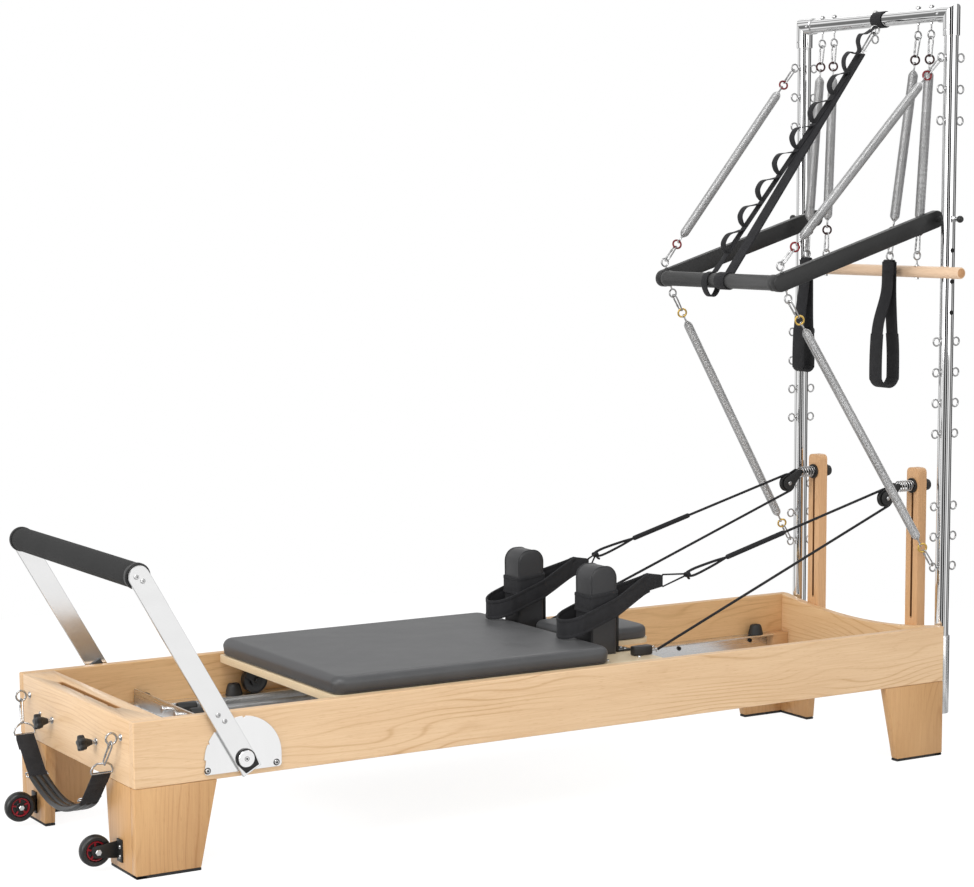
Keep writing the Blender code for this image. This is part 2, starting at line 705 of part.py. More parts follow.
def wheel_brackets():
    """Black angle brackets on the foot legs, each with one cheek and an axle."""
    for side, sign in SIDES:
        cheek_y = sign * (WHEEL_Y + WHEEL_WIDTH / 2 + 0.003 + CHEEK_WALL / 2)
        half = 0.020
        lap = CHEEK_WALL / 4
        outline = [(-GAP - lap, WHEEL_Z - half), (-GAP - lap, WHEEL_Z + half)]
        outline += arc((-WHEEL_STANDOFF, WHEEL_Z), 0.014, 90, 270, 6)
        cheek = plate(outline, CHEEK_WALL, side_plane(cheek_y))
        ys = sorted((cheek_y - sign * (CHEEK_WALL / 2 - lap), cheek_y + sign * 0.026))
        flange = box((-CHEEK_WALL - GAP, ys[0], WHEEL_Z - 0.026), (-GAP, ys[1], WHEEL_Z + 0.026))
        axle = rod((-WHEEL_STANDOFF, cheek_y, WHEEL_Z),
                   (-WHEEL_STANDOFF, sign * (WHEEL_Y - WHEEL_WIDTH / 2 - 0.004), WHEEL_Z), AXLE_BOLT, sides=8)
        head = rod((-WHEEL_STANDOFF, sign * (WHEEL_Y - WHEEL_WIDTH / 2 - 0.001), WHEEL_Z),
                   (-WHEEL_STANDOFF, sign * (WHEEL_Y - WHEEL_WIDTH / 2 - 0.006), WHEEL_Z), 0.007, sides=6)
        nut = rod((-WHEEL_STANDOFF, cheek_y, WHEEL_Z),
                  (-WHEEL_STANDOFF, cheek_y + sign * 0.007, WHEEL_Z), 0.0075, sides=6)
        finish(fuse(cheek, flange, axle, head, nut), f"{side}_wheel_bracket", "black_metal")


def transport_wheel(side, sign, carrier):
    """Wheel with a rounded tread and a recessed core, bored for its axle."""
    half = WHEEL_WIDTH / 2
    rim, core, dish = WHEEL_RADIUS - 0.010, WHEEL_RADIUS - 0.013, 0.003
    profile = [(AXLE_BOLT + GAP, -half + dish), (core, -half + dish), (rim, -half), (WHEEL_RADIUS, -half + dish),
               (WHEEL_RADIUS, half - dish), (rim, half), (core, half - dish), (AXLE_BOLT + GAP, half - dish)]
    wheel = turned(profile, (-WHEEL_STANDOFF, sign * WHEEL_Y, WHEEL_Z), (0, 1, 0), steps=16)
    finish(wheel, f"{side}_transport_wheel", "tyre_rubber", carrier)


def star_knob(side, sign, carrier):
    """Five-lobed hand knob on the stud that clamps what stands in the slot."""
    lobes = 5
    outline = []
    for i in range(lobes * 4):
        turn = 2 * math.pi * i / (lobes * 4)
        radius = KNOB_RADIUS * (0.84 + 0.16 * math.cos(lobes * turn))
        outline.append((sign * KNOB_Y + radius * math.cos(turn), KNOB_Z + radius * math.sin(turn)))
    head = plate(outline, 0.016, end_plane(-KNOB_STANDOFF - 0.008))
    neck = rod((-KNOB_STANDOFF, sign * KNOB_Y, KNOB_Z), (-KNOB_STANDOFF + 0.010, sign * KNOB_Y, KNOB_Z),
               0.009, sides=8, end_radius=0.007)
    stud = rod((-KNOB_STANDOFF - 0.002, sign * KNOB_Y, KNOB_Z), (SLOT_X - SLOT_WIDTH / 2 - 0.001, sign * KNOB_Y, KNOB_Z),
               STUD_RADIUS, sides=6)
    finish(fuse(head, neck, stud), f"{side}_star_knob", "black_plastic", carrier)


def foot_strap(carrier):
    """Sling of webbing with a padded middle, on snap hooks from the eyebolts."""
    ring_z = STRAP_EYE_Z - 0.071
    strap_x = STRAP_EYE_X - 0.008
    end_y = STRAP_EYE_Y - STRAP_INSET
    drops = ((0.0, 0.085), (0.032, 0.123), (0.075, 0.169), (0.135, 0.206), (0.207, 0.219))
    run = [(end_y - inset, STRAP_EYE_Z - drop) for inset, drop in drops]
    route = [(-y, z) for y, z in run] + [(y, z) for y, z in reversed(run)]
    wall = [0.003, 0.003, 0.004, 0.008, 0.011]
    walls = wall + wall[::-1]
    upper, lower = [], []
    for index, (y, z) in enumerate(route):
        before = route[max(index - 1, 0)]
        after = route[min(index + 1, len(route) - 1)]
        heading = Vector((after[0] - before[0], after[1] - before[1])).normalized()
        across = Vector((-heading.y, heading.x)) * walls[index] / 2
        upper.append((y + across.x, z + across.y))
        lower.append((y - across.x, z - across.y))
    sling = plate(upper + lower[::-1], 0.045, end_plane(strap_x))
    pieces = []
    for _, sign in SIDES:
        end = Vector((strap_x, sign * end_y, STRAP_EYE_Z - 0.085))
        drop = seat_drop(STRAP_EYE_RADIUS, STRAP_EYE_WIRE, LINK_SIDES)
        seat = Vector((STRAP_EYE_X, sign * (STRAP_EYE_Y + 0.002), STRAP_EYE_Z - drop - GAP * 3))
        top = Vector((strap_x, sign * (STRAP_EYE_Y - 0.027), ring_z + 0.012))
        corners = [end + Vector((dx, 0, 0)) for dx in (-0.024, 0.024)]
        pieces.append(tube([corners[0], corners[0] + Vector((0.004, sign * 0.002, 0.014)), top,
                            corners[1] + Vector((-0.004, sign * 0.002, 0.014)), corners[1]],
                           0.0024, 0, cyclic=True))
        pieces.append(hook(seat, top + Vector((0, 0, -0.001)), Vector((0, 1, 0))))
    finish(fuse(sling, *pieces), "foot_strap", "webbing", carrier)


# Springs and their hooks

def hook(seat, end, across):
    """Snap hook: a long closed loop of wire from its seat to its far end."""
    seat, end, across = Vector(seat), Vector(end), Vector(across)
    down = (end - seat).normalized()
    across = (across - down * across.dot(down)).normalized()
    length = (end - seat).length
    loop = [(share * HOOK_HALF, along) for share, along in (
        (-0.5, 0.0), (0.5, 0.0), (1.0, HOOK_HALF * 0.8), (0.5, length), (-0.5, length), (-1.0, HOOK_HALF * 0.8))]
    points = [seat + across * u + down * v for u, v in loop]
    return tube(points, HOOK_WIRE, 0, cyclic=True)


def coil(start, end, radius):
    """Closed spring body: straight ends on the axis and a helix between."""
    start, end = Vector(start), Vector(end)
    axis = (end - start).normalized()
    side = axis.orthogonal().normalized()
    other = axis.cross(side)
    length = (end - start).length
    lead = SPRING_WIRE * 3
    curls = max(2, round(length / CURL_PITCH))
    count = curls * POINTS_PER_CURL
    points = [start, start + axis * lead]
    for i in range(count + 1):
        share = i / count
        turn = 2 * math.pi * curls * share
        ramp = min(1.0, 0.35 + min(share, 1 - share) * curls * 1.1)
        reach = (radius - SPRING_WIRE) * ramp
        along = lead * 1.6 + (length - lead * 3.2) * share
        points.append(start + axis * along + (side * math.cos(turn) + other * math.sin(turn)) * reach)
    points += [end - axis * lead, end]
    return points


def least_gap(points, wire):
    """Smallest clear distance between stretches of a coil a turn or more apart."""
    least = 1.0
    for i, first in enumerate(points):
        for second in points[i + POINTS_PER_CURL - 1:]:
            least = min(least, (first - second).length)
    return least - 2 * wire


def spring_chain(upper, lower, radius):
    """Spring with a ring and a snap hook at both ends, between two seats."""
    upper, lower = Vector(upper), Vector(lower)
    down = (lower - upper).normalized()
    across = Vector((0, 1, 0))
    ring_at = HOOK_LENGTH + RING_RADIUS - RING_WIRE - HOOK_WIRE + 0.0012
    tail_at = ring_at + RING_RADIUS
    pieces = []
    for seat, heading in ((upper, down), (lower, -down)):
        pieces.append(hook(seat, seat + heading * HOOK_LENGTH, across))
        pieces.append(ring(seat + heading * ring_at, RING_RADIUS, RING_WIRE, 6))
    points = coil(upper + down * (tail_at - 0.001), lower - down * (tail_at - 0.001), radius)
    gap = least_gap(points[2:-2], SPRING_WIRE)
    body_wire = tube(points, SPRING_WIRE, 1)
    return fuse(body_wire, *pieces), gap


def seat_drop(radius, wire, sides):
    """How far under a ring's centre a hook through it rests."""
    flat = HOOK_WIRE * math.cos(math.pi / 4)
    return radius * math.cos(math.pi / sides) - wire - flat - SEAT_PLAY


def push_frame(distance, offset=0.0):
    """Point in the side plane along the push bar's arm from its pivot."""
    length = math.hypot(PUSH_REACH, PUSH_DROP)
    along = Vector((-PUSH_REACH, -PUSH_DROP)) / length
    up = Vector((-along.y, along.x)) * -1
    spot = Vector((POST_X, PUSH_PIVOT_Z)) + along * distance + up * offset
    return spot.x, spot.y


SEAT = seat_drop(EYE_RADIUS, EYE_WIRE, EYE_SIDES)


def push_springs():
    """Four springs from the posts' end eyes to the push bar's ends."""
    arm_length = math.hypot(PUSH_REACH, PUSH_DROP)
    at = arm_length - PUSH_EYE_INSET
    gaps = []
    for side, sign in SIDES:
        for height, post_z, offset in (("upper", POST_EYES_Z[0], PUSH_EYE_UP), ("lower", POST_EYES_Z[-1], -PUSH_EYE_DOWN)):
            x, z = push_frame(at, offset)
            bar_eye = Vector((x, sign * PUSH_ARM_Y, z))
            post_eye = Vector((POST_X - EYE_OFFSET, sign * POST_Y, post_z))
            pull = (bar_eye - post_eye).normalized()
            level = Vector((pull.x, 0, pull.z)).normalized() * SEAT
            start, end = post_eye + level, bar_eye - level
            spring, gap = spring_chain(start, end, PUSH_SPRING_RADIUS)
            gaps.append(gap)
            finish(spring, f"{height}_{side}_push_spring", "spring_steel")
    return gaps


def top_seat(y):
    """Lowest resting place of a hook in a top-tube eye."""
    return Vector((POST_X, y, TOP_TUBE_Z - TOP_EYE_DROP - SEAT))


def roll_bar_springs():
    """Two springs from the top tube to the roll-down bar's eyes."""
    gaps = []
    for side, top_y, bar_y in (("near", TOP_EYES_Y[0], ROLL_BAR_EYES_Y[0]), ("far", TOP_EYES_Y[3], ROLL_BAR_EYES_Y[1])):
        eye = Vector((POST_X - ROLL_BAR_FORWARD, bar_y, ROLL_BAR_Z + ROLL_EYE_RISE))
        spring, gap = spring_chain(top_seat(top_y), eye + Vector((0, 0, SEAT)), HANGING_SPRING_RADIUS)
        gaps.append(gap)
        finish(spring, f"{side}_roll_bar_spring", "spring_steel")
    return gaps


def loop_spring(side, top_y, loop_y, carrier):
    """Spring from the top tube to a hand loop's ring."""
    ring_centre = Vector((POST_X - HAND_LOOP_FORWARD, loop_y, HAND_RING_Z))
    seat = ring_centre + Vector((0, 0, seat_drop(LINK_RADIUS, LINK_WIRE, LINK_SIDES)))
    spring, gap = spring_chain(top_seat(top_y), seat, HANGING_SPRING_RADIUS)
    finish(spring, f"{side}_loop_spring", "spring_steel", carrier)
    return [gap]


def hand_loop(side, loop_y, carrier):
    """Webbing loop with a neck under its ring and a wide padded bottom."""
    centre = Vector((POST_X - HAND_LOOP_FORWARD, loop_y, HAND_RING_Z))
    top = HAND_RING_Z - LINK_RADIUS - 0.004
    neck = top - 0.030
    bottom = top - HAND_LOOP_DROP + 0.036
    x = centre.x
    outline = [(x + 0.004, top), (x + 0.004, neck), (x + 0.014, neck - 0.070), (x + 0.014, neck - 0.180)]
    outline += arc((x - 0.018, bottom), 0.032, 0, -180, 7)
    outline += [(x - 0.050, neck - 0.180), (x - 0.028, neck - 0.070), (x - 0.006, neck), (x - 0.006, top)]
    loop = band(outline, 0.038, 0.0036, side_plane(loop_y))
    stem = box((x - 0.007, loop_y - 0.019, neck - 0.004), (x + 0.005, loop_y + 0.019, top + 0.002))
    link = ring(centre, LINK_RADIUS, LINK_WIRE, LINK_SIDES)
    finish(fuse(loop, stem, link), f"{side}_hand_loop", "webbing", carrier)


def roll_down_bar(carrier):
    """Wooden dowel with two eyebolts through it."""
    x = POST_X - ROLL_BAR_FORWARD
    bar = bevelled(rod((x, ROLL_BAR_NEAR, ROLL_BAR_Z), (x, ROLL_BAR_NEAR + ROLL_BAR_LENGTH, ROLL_BAR_Z),
                       ROLL_BAR_RADIUS, sides=16), 0.002)
    eyes = []
    for y in ROLL_BAR_EYES_Y:
        shank = ROLL_EYE_RISE - EYE_RADIUS + ROLL_BAR_RADIUS + 0.006
        eyes += eyebolt((x, y, ROLL_BAR_Z + ROLL_EYE_RISE), (0, 0, -1), shank)
    finish(fuse(bar, *eyes), "roll_down_bar", "dowel_wood", carrier)


# Tower

def tower_posts():
    """Chrome posts in sockets, with rows of double eyebolts and pin holes."""
    post_top = TOP_TUBE_Z - 0.024
    for side, sign in SIDES:
        y = sign * POST_Y
        post = rod((POST_X, y, SOCKET_BOTTOM), (POST_X, y, post_top), POST_RADIUS, sides=14)
        holes = [rod((POST_X, y + sign * (POST_RADIUS - 0.004 - (PIN_REACH if level == 0 else 0.0)),
                      PUSH_PIVOT_Z - level * ADJUST_PITCH),
                     (POST_X, y + sign * (POST_RADIUS + 0.01), PUSH_PIVOT_Z - level * ADJUST_PITCH),
                     PIN_RADIUS + GAP, sides=6)
                 for level in range(ADJUST_HOLES + 1)]
        post = cut(post, *holes)
        sleeve = rod((POST_X, y, SOCKET_BOTTOM), (POST_X, y, SOCKET_TOP), SLEEVE_RADIUS, sides=14)
        backing = box((FRAME_LENGTH + GAP, y - 0.036, SOCKET_BOTTOM), (FRAME_LENGTH + 0.005, y + 0.036, SOCKET_TOP))
        eyes = []
        for z in POST_EYES_Z:
            for way in (-1, 1):
                eye = (POST_X + way * EYE_OFFSET, y, z)
                eyes += eyebolt(eye, (-way, 0, 0), EYE_OFFSET - EYE_RADIUS - POST_RADIUS + 0.004)
        finish(fuse(post, sleeve, backing, *eyes), f"{side}_tower_post", "chrome")


def tower_top_bar():
    """Top tube with an elbow fitting over each post and five eyebolts."""
    bottom = TOP_TUBE_Z - ELBOW_DROP
    top = TOP_TUBE_Z + SLEEVE_RADIUS
    bar = rod((POST_X, -POST_Y, TOP_TUBE_Z), (POST_X, POST_Y, TOP_TUBE_Z), POST_RADIUS, sides=14)
    pieces, bores = [], []
    for _, sign in SIDES:
        y = sign * POST_Y
        pieces.append(rod((POST_X, y, bottom), (POST_X, y, top), SLEEVE_RADIUS, sides=14))
        pieces.append(rod((POST_X, y, TOP_TUBE_Z), (POST_X, y - sign * ELBOW_REACH, TOP_TUBE_Z), SLEEVE_RADIUS, sides=14))
        bores.append(rod((POST_X, y, bottom - 0.01), (POST_X, y, TOP_TUBE_Z - 0.024 + GAP), POST_RADIUS + GAP, sides=14))
    bar = cut(fuse(bar, *pieces), *bores)
    eyes = []
    for y in TOP_EYES_Y:
        eye = (POST_X, y, TOP_TUBE_Z - TOP_EYE_DROP)
        eyes += eyebolt(eye, (0, 0, 1), TOP_EYE_DROP - EYE_RADIUS + POST_RADIUS + 0.008)
    finish(fuse(bar, *eyes), "tower_top_bar", "chrome")


def risers():
    """Slotted wooden uprights behind the tower board, for the rope pulleys."""
    low = RAIL_BOTTOM + 0.006
    x = FRAME_LENGTH + GAP + RISER_DEPTH / 2
    for side, sign in SIDES:
        y = sign * RISER_Y
        half = RISER_WIDTH / 2
        corner = RISER_CORNER
        outline = [(y - half, low), (y + half, low)]
        outline += arc((y + half - corner, RISER_TOP - corner), corner, 0, 90, 4)
        outline += arc((y - half + corner, RISER_TOP - corner), corner, 90, 180, 4)
        riser = plate(outline, RISER_DEPTH, end_plane(x))
        slot_half = RISER_SLOT_WIDTH / 2
        slot_outline = arc((y, RISER_SLOT[1] - slot_half), slot_half, 0, 180, 5)
        slot_outline += arc((y, RISER_SLOT[0] + slot_half), slot_half, 180, 360, 5)
        slot = plate(slot_outline, RISER_DEPTH * 2, end_plane(x))
        finish(cut(riser, slot), f"{side}_riser", "riser_wood")


# Pulleys and ropes

def pulley_block(side, sign, carrier):
    """Two cheeks on a bolt through the riser's slot, with a knob behind it."""
    y = sign * RISER_Y
    face = FRAME_LENGTH + GAP
    back = face + RISER_DEPTH
    bolt_front = face - 0.030
    bolt = rod((bolt_front, y, PULLEY_BOLT_Z), (back + 0.010, y, PULLEY_BOLT_Z), PULLEY_BOLT_RADIUS, sides=6)
    knob = rod((back + GAP, y, PULLEY_BOLT_Z), (back + 0.026, y, PULLEY_BOLT_Z), 0.011, sides=8, end_radius=0.015)
    boss = rod((bolt_front - 0.006, y, PULLEY_BOLT_Z), (face - GAP * 2, y, PULLEY_BOLT_Z), 0.0075, sides=6)
    centre = (PULLEY_X, PULLEY_Z)
    neck = (bolt_front - 0.004, PULLEY_BOLT_Z)
    heading = math.degrees(math.atan2(neck[1] - centre[1], neck[0] - centre[0]))
    cheeks = []
    for way in (-1, 1):
        outline = arc(centre, 0.017, heading + 90, heading + 270, 7) + arc(neck, 0.008, heading - 90, heading + 90, 4)
        cheeks.append(plate(outline, 0.003, side_plane(y + way * CHEEK_Y)))
    bridge = rod((neck[0], y - CHEEK_Y, neck[1]), (neck[0], y + CHEEK_Y, neck[1]), 0.006, sides=6)
    pin = rod((PULLEY_X, y - CHEEK_Y - 0.003, PULLEY_Z), (PULLEY_X, y + CHEEK_Y + 0.003, PULLEY_Z), SHEAVE_PIN, sides=6)
    block = fuse(bolt, knob, boss, *cheeks, bridge, pin)
    finish(block, f"{side}_pulley_block", "black_metal", carrier)


def sheave(side, sign, carrier):
    """Grooved wheel of the rope pulley."""
    half = SHEAVE_WIDTH / 2
    groove = SHEAVE_RADIUS - ROPE_RADIUS
    profile = [(SHEAVE_PIN + GAP, -half), (SHEAVE_RADIUS, -half), (groove, -0.0016), (groove, 0.0016),
               (SHEAVE_RADIUS, half), (SHEAVE_PIN + GAP, half)]
    wheel = turned(profile, (PULLEY_X, sign * RISER_Y, PULLEY_Z), (0, 1, 0), steps=14)
    finish(wheel, f"{side}_sheave", "black_plastic", carrier)


def tangent_angle(point, centre, radius, lower):
    """Angle on a circle where a line from a point ahead of it touches."""
    dx, dz = point[0] - centre[0], point[1] - centre[1]
    toward = math.atan2(dz, dx)
    spread = math.acos(radius / math.hypot(dx, dz))
    return toward + spread if lower else toward - spread


def ropes():
    """Rope from the cleat round the pulley to a knot and the cord triangle at the foot loop."""
    wrap = SHEAVE_RADIUS + RUNNING + GAP
    centre = (PULLEY_X, PULLEY_Z)
    for side, sign in SIDES:
        cleat = Vector((CARRIAGE_X + PLATFORM_LENGTH + 0.024, sign * CLEAT_Y, PLATFORM_TOP + 0.010))
        knot = Vector((KNOT_X, sign * RISER_Y, KNOT_Z))
        low = math.degrees(tangent_angle((cleat.x, cleat.z), centre, wrap, lower=True))
        high = math.degrees(tangent_angle((knot.x, knot.z), centre, wrap, lower=False))
        start = low % 360
        end = high % 360 + 360
        turn = arc(centre, wrap, start, end, 11)
        first = Vector((turn[0][0], sign * RISER_Y, turn[0][1]))
        lower_run = [cleat.lerp(first, share) for share in (0.0, 0.25, 0.5, 0.75)]
        around = [Vector((x, sign * RISER_Y, z)) for x, z in turn]
        upper_run = [around[-1].lerp(knot, share) for share in (0.3, 0.6, 1.0)]
        line = tube(lower_run + around + upper_run, ROPE_RADIUS, 1)
        tab_x = LOOP_BACK + TAB_LENGTH + CORD_RADIUS * math.cos(math.pi / 4) + GAP
        tab_z = loop_height(LOOP_BACK)
        strands = [(tab_x, sign * REST_Y, tab_z - 0.012), (tab_x, sign * REST_Y, tab_z + 0.016), tuple(knot)]
        triangle = tube(strands, CORD_RADIUS, 0, cyclic=True)
        finish(fuse(line, triangle, ball(knot, 0.0078, rings=4, sides=6)), f"{side}_rope", "webbing")


# Push bar

def push_bar(carrier):
    """U-shaped bar: two flat arms, a round cross bar and an eyebolt in each arm."""
    length = math.hypot(PUSH_REACH, PUSH_DROP)
    end = push_frame(length)
    tilt = math.degrees(math.atan2(PUSH_DROP, PUSH_REACH))
    reach = PUSH_ARM_Y - PUSH_ARM_WALL / 2 + 0.002
    cross = rod((end[0], -reach, end[1]), (end[0], reach, end[1]), PUSH_TUBE_RADIUS, sides=16)
    pieces = []
    for _, sign in SIDES:
        outline = arc(end, PUSH_ARM_WIDTH / 2, 90 + tilt, 270 + tilt, 9)
        outline += arc((POST_X, PUSH_PIVOT_Z), PUSH_ARM_WIDTH / 2, -90 + tilt, 90 + tilt, 9)
        y = sign * PUSH_ARM_Y
        pieces.append(plate(outline, PUSH_ARM_WALL, side_plane(y)))
        inner_face = y - sign * (PUSH_ARM_WALL / 2 + 0.003)
        pieces.append(rod((POST_X, inner_face, PUSH_PIVOT_Z),
                          (POST_X, sign * (POST_Y - POST_RADIUS - GAP * 2), PUSH_PIVOT_Z), 0.008, sides=8))
        at = length - PUSH_EYE_INSET
        for offset in (PUSH_EYE_UP, -PUSH_EYE_DOWN):
            eye = push_frame(at, offset)
            foot = push_frame(at, offset * 0.2)
            toward = Vector((foot[0] - eye[0], 0, foot[1] - eye[1]))
            pieces += eyebolt((eye[0], y, eye[1]), toward, abs(offset) - EYE_RADIUS - 0.012)
    finish(fuse(cross, *pieces), "push_bar", "black_aluminium", carrier)


def pull_pin(side, sign, carrier):
    """Spring pin on the post's outer side: collar, stem and ball knob."""
    face = sign * (POST_Y + POST_RADIUS + GAP)
    shaft = rod((POST_X, face - sign * PIN_REACH, PUSH_PIVOT_Z), (POST_X, face + sign * 0.022, PUSH_PIVOT_Z),
                PIN_RADIUS, sides=6)
    collar = rod((POST_X, face, PUSH_PIVOT_Z), (POST_X, face + sign * 0.010, PUSH_PIVOT_Z), 0.0075, sides=6)
    knob = ball((POST_X, face + sign * 0.028, PUSH_PIVOT_Z), 0.0095, rings=5, sides=7)
    finish(fuse(shaft, collar, knob), f"{side}_pull_pin", "black_plastic", carrier)


def stretch_strap():
    """Strap of webbing from round the top tube down to round the push bar."""
    length = math.hypot(PUSH_REACH, PUSH_DROP)
    low = push_frame(length)
    top = (POST_X, TOP_TUBE_Z)
    heading = math.atan2(top[1] - low[1], top[0] - low[0])
    along = (math.cos(heading), math.sin(heading))
    wall = 0.0030
    loops = []
    for centre, radius, clear in ((top, POST_RADIUS, 0.0008), (low, PUSH_TUBE_RADIUS, 0.0008)):
        circle = arc(centre, radius + clear + wall / 2, 0, 360, 15)[:-1]
        loops.append(band(circle, 0.034, wall, side_plane(STRETCH_Y)))
    start = (low[0] + along[0] * (PUSH_TUBE_RADIUS + 0.002), low[1] + along[1] * (PUSH_TUBE_RADIUS + 0.002))
    end = (top[0] - along[0] * (POST_RADIUS + 0.002), top[1] - along[1] * (POST_RADIUS + 0.002))
    normal = (-along[1] * STRETCH_WALL / 2, along[0] * STRETCH_WALL / 2)
    outline = [(start[0] - normal[0], start[1] - normal[1]), (end[0] - normal[0], end[1] - normal[1]),
               (end[0] + normal[0], end[1] + normal[1]), (start[0] + normal[0], start[1] + normal[1])]
    run = plate(outline, 0.032, side_plane(STRETCH_Y))
    finish(fuse(run, *loops), "stretch_strap", "webbing")


# Carriage

def carriage_platform(carrier):
    """Plywood deck with a steel roller bracket at each corner and two rope cleats."""
    low = PLATFORM_TOP - PLATFORM_WALL
    rear = CARRIAGE_X + PLATFORM_LENGTH
    deck = box((CARRIAGE_X, -PLATFORM_HALF, low), (rear, PLATFORM_HALF, PLATFORM_TOP))
    axle_z = TRACK_TOP + GAP + ROLLER_RADIUS
    pieces = []
    for x in (CARRIAGE_X + ROLLER_INSET, rear - ROLLER_INSET):
        for _, sign in SIDES:
            inner = ROLLER_Y - ROLLER_WIDTH / 2 - 0.008
            ys = sorted((sign * inner, sign * (inner + 0.004)))
            pieces.append(box((x - 0.030, ys[0], axle_z - 0.014), (x + 0.030, ys[1], low + 0.002)))
            pieces.append(rod((x, sign * (inner + 0.001), axle_z), (x, sign * (ROLLER_Y + ROLLER_WIDTH / 2 - 0.002), axle_z),
                              ROLLER_PIN, sides=8))
    for _, sign in SIDES:
        y = sign * CLEAT_Y
        pieces.append(box((rear - 0.055, y - 0.014, PLATFORM_TOP - 0.002), (rear + 0.004, y + 0.014, PLATFORM_TOP + 0.024)))
        pieces.append(tube([(rear - 0.010, y, PLATFORM_TOP + 0.010), (rear + 0.022, y, PLATFORM_TOP + 0.010)], 0.003, 0))
    finish(fuse(deck, *pieces), "carriage_platform", "plywood", carrier)


def carriage_pad(carrier):
    """Upholstered pad on the deck."""
    low = PLATFORM_TOP + GAP
    high = PLATFORM_TOP + PAD_THICK
    pad = cushion((CARRIAGE_X + 0.001, -PLATFORM_HALF, low - 0.004), (CARRIAGE_X + PAD_LENGTH, PLATFORM_HALF, high),
                  0.045, 0.004, 0.004)
    finish(flat_base(pad, low), "carriage_pad", "vinyl", carrier, smooth=60)


def shoulder_rest(side, sign, carrier):
    """Padded block with a rounded head on a steel post behind it."""
    low = PLATFORM_TOP + GAP
    top = PLATFORM_TOP + REST_HEIGHT
    left, right = REST_X - REST_LENGTH / 2, REST_X + REST_LENGTH / 2
    crown = 0.030
    outline = [(left + 0.004, low), (right - 0.004, low)]
    outline += arc((right - crown, top - crown), crown, 0, 90, 5)
    outline += arc((left + crown, top - crown), crown, 90, 180, 5)
    block = bevelled(plate(outline, REST_WIDTH, side_plane(sign * REST_Y)), 0.008)
    y = sign * REST_Y
    post_front = right + REST_POST_GAP
    post = box((post_front, y - 0.020, low), (post_front + 0.006, y + 0.020, low + 0.110))
    foot = box((post_front, y - 0.020, low), (post_front + 0.045, y + 0.020, low + 0.005))
    stud = rod((right - 0.010, y, low + 0.090), (post_front + 0.010, y, low + 0.090), 0.006, sides=8)
    finish(fuse(block, post, foot, stud), f"{side}_shoulder_rest", "vinyl", carrier)


def loop_height(x):
    """Height of the foot loops' middle line, which rises toward the pulleys."""
    return LOOP_FRONT_Z + LOOP_SLOPE * (x - (REST_X - REST_LENGTH / 2 - LOOP_SLACK))


def foot_loop(side, sign, carrier):
    """Wide webbing loop round a shoulder rest, closed by a tab."""
    y = sign * REST_Y
    back = LOOP_BACK
    front = REST_X - REST_LENGTH / 2 - LOOP_SLACK
    half = REST_WIDTH / 2 + 0.012
    outline = arc((front + half, y), half, 90, 270, 7)
    outline += [(REST_X + 0.030, y - half), (back - 0.020, y - 0.008), (back, y - 0.004)]
    outline += [(back, y + 0.004), (back - 0.020, y + 0.008), (REST_X + 0.030, y + half)]
    loop = band(outline, 0.050, 0.0036, Matrix.Identity(4))
    slope = Matrix.Identity(4)
    slope[2][0] = LOOP_SLOPE
    slope[2][3] = LOOP_FRONT_Z - LOOP_SLOPE * front
    loop.data.transform(slope)
    tab_z = loop_height(back)
    tab = box((back - 0.012, y - 0.0065, tab_z - 0.020), (back + TAB_LENGTH, y + 0.0065, tab_z + 0.024))
    finish(fuse(loop, tab), f"{side}_foot_loop", "webbing", carrier)


def headrest(carrier):
    """Padded board hinged on the deck behind the pad, to tilt up."""
    low = PLATFORM_TOP + GAP
    high = PLATFORM_TOP + PAD_THICK
    pad = cushion((HEADREST_X, -HEADREST_HALF, low - 0.004), (HEADREST_X + HEADREST_LENGTH, HEADREST_HALF, high),
                  0.035, 0.003, 0.004)
    finish(flat_base(pad, low), "headrest", "vinyl", carrier, smooth=60)


def roller(name, x, y, carrier):
    """Bored roller with a rounded tread, on its bracket's pin."""
    half = ROLLER_WIDTH / 2
    profile = [(ROLLER_PIN + GAP, -half), (ROLLER_RADIUS, -half), (ROLLER_RADIUS, half), (ROLLER_PIN + GAP, half)]
    wheel = turned(profile, (x, y, TRACK_TOP + GAP + ROLLER_RADIUS), (0, 1, 0), steps=12)
    finish(wheel, name, "black_plastic", carrier)


def carriage_springs():
    """Four springs from the spring bar's pegs to an anchor bar under the deck."""
    deck_low = PLATFORM_TOP - PLATFORM_WALL - GAP
    anchor = box((ANCHOR_X - 0.010, -0.160, CARRIAGE_SPRING_Z - 0.015), (ANCHOR_X + 0.010, 0.160, CARRIAGE_SPRING_Z + 0.015))
    hangers = [box((ANCHOR_X - 0.010, y - 0.012, CARRIAGE_SPRING_Z), (ANCHOR_X + 0.010, y + 0.012, deck_low))
               for y in (-0.140, 0.140)]
    pieces = []
    for y in CARRIAGE_SPRING_Y:
        start = SPRING_BAR_X + 0.030
        pieces.append(rod((start, y, CARRIAGE_SPRING_Z), (ANCHOR_X - 0.004, y, CARRIAGE_SPRING_Z),
                          CARRIAGE_SPRING_RADIUS, sides=8))
        pieces.append(rod((SPRING_BAR_X + SPRING_BAR_WALL / 2 + GAP, y, CARRIAGE_SPRING_Z), (start + 0.004, y, CARRIAGE_SPRING_Z),
                          0.004, sides=6, end_radius=CARRIAGE_SPRING_RADIUS * 0.8))
    finish(fuse(anchor, *hangers, *pieces), "carriage_springs", "spring_steel")


# Assembly

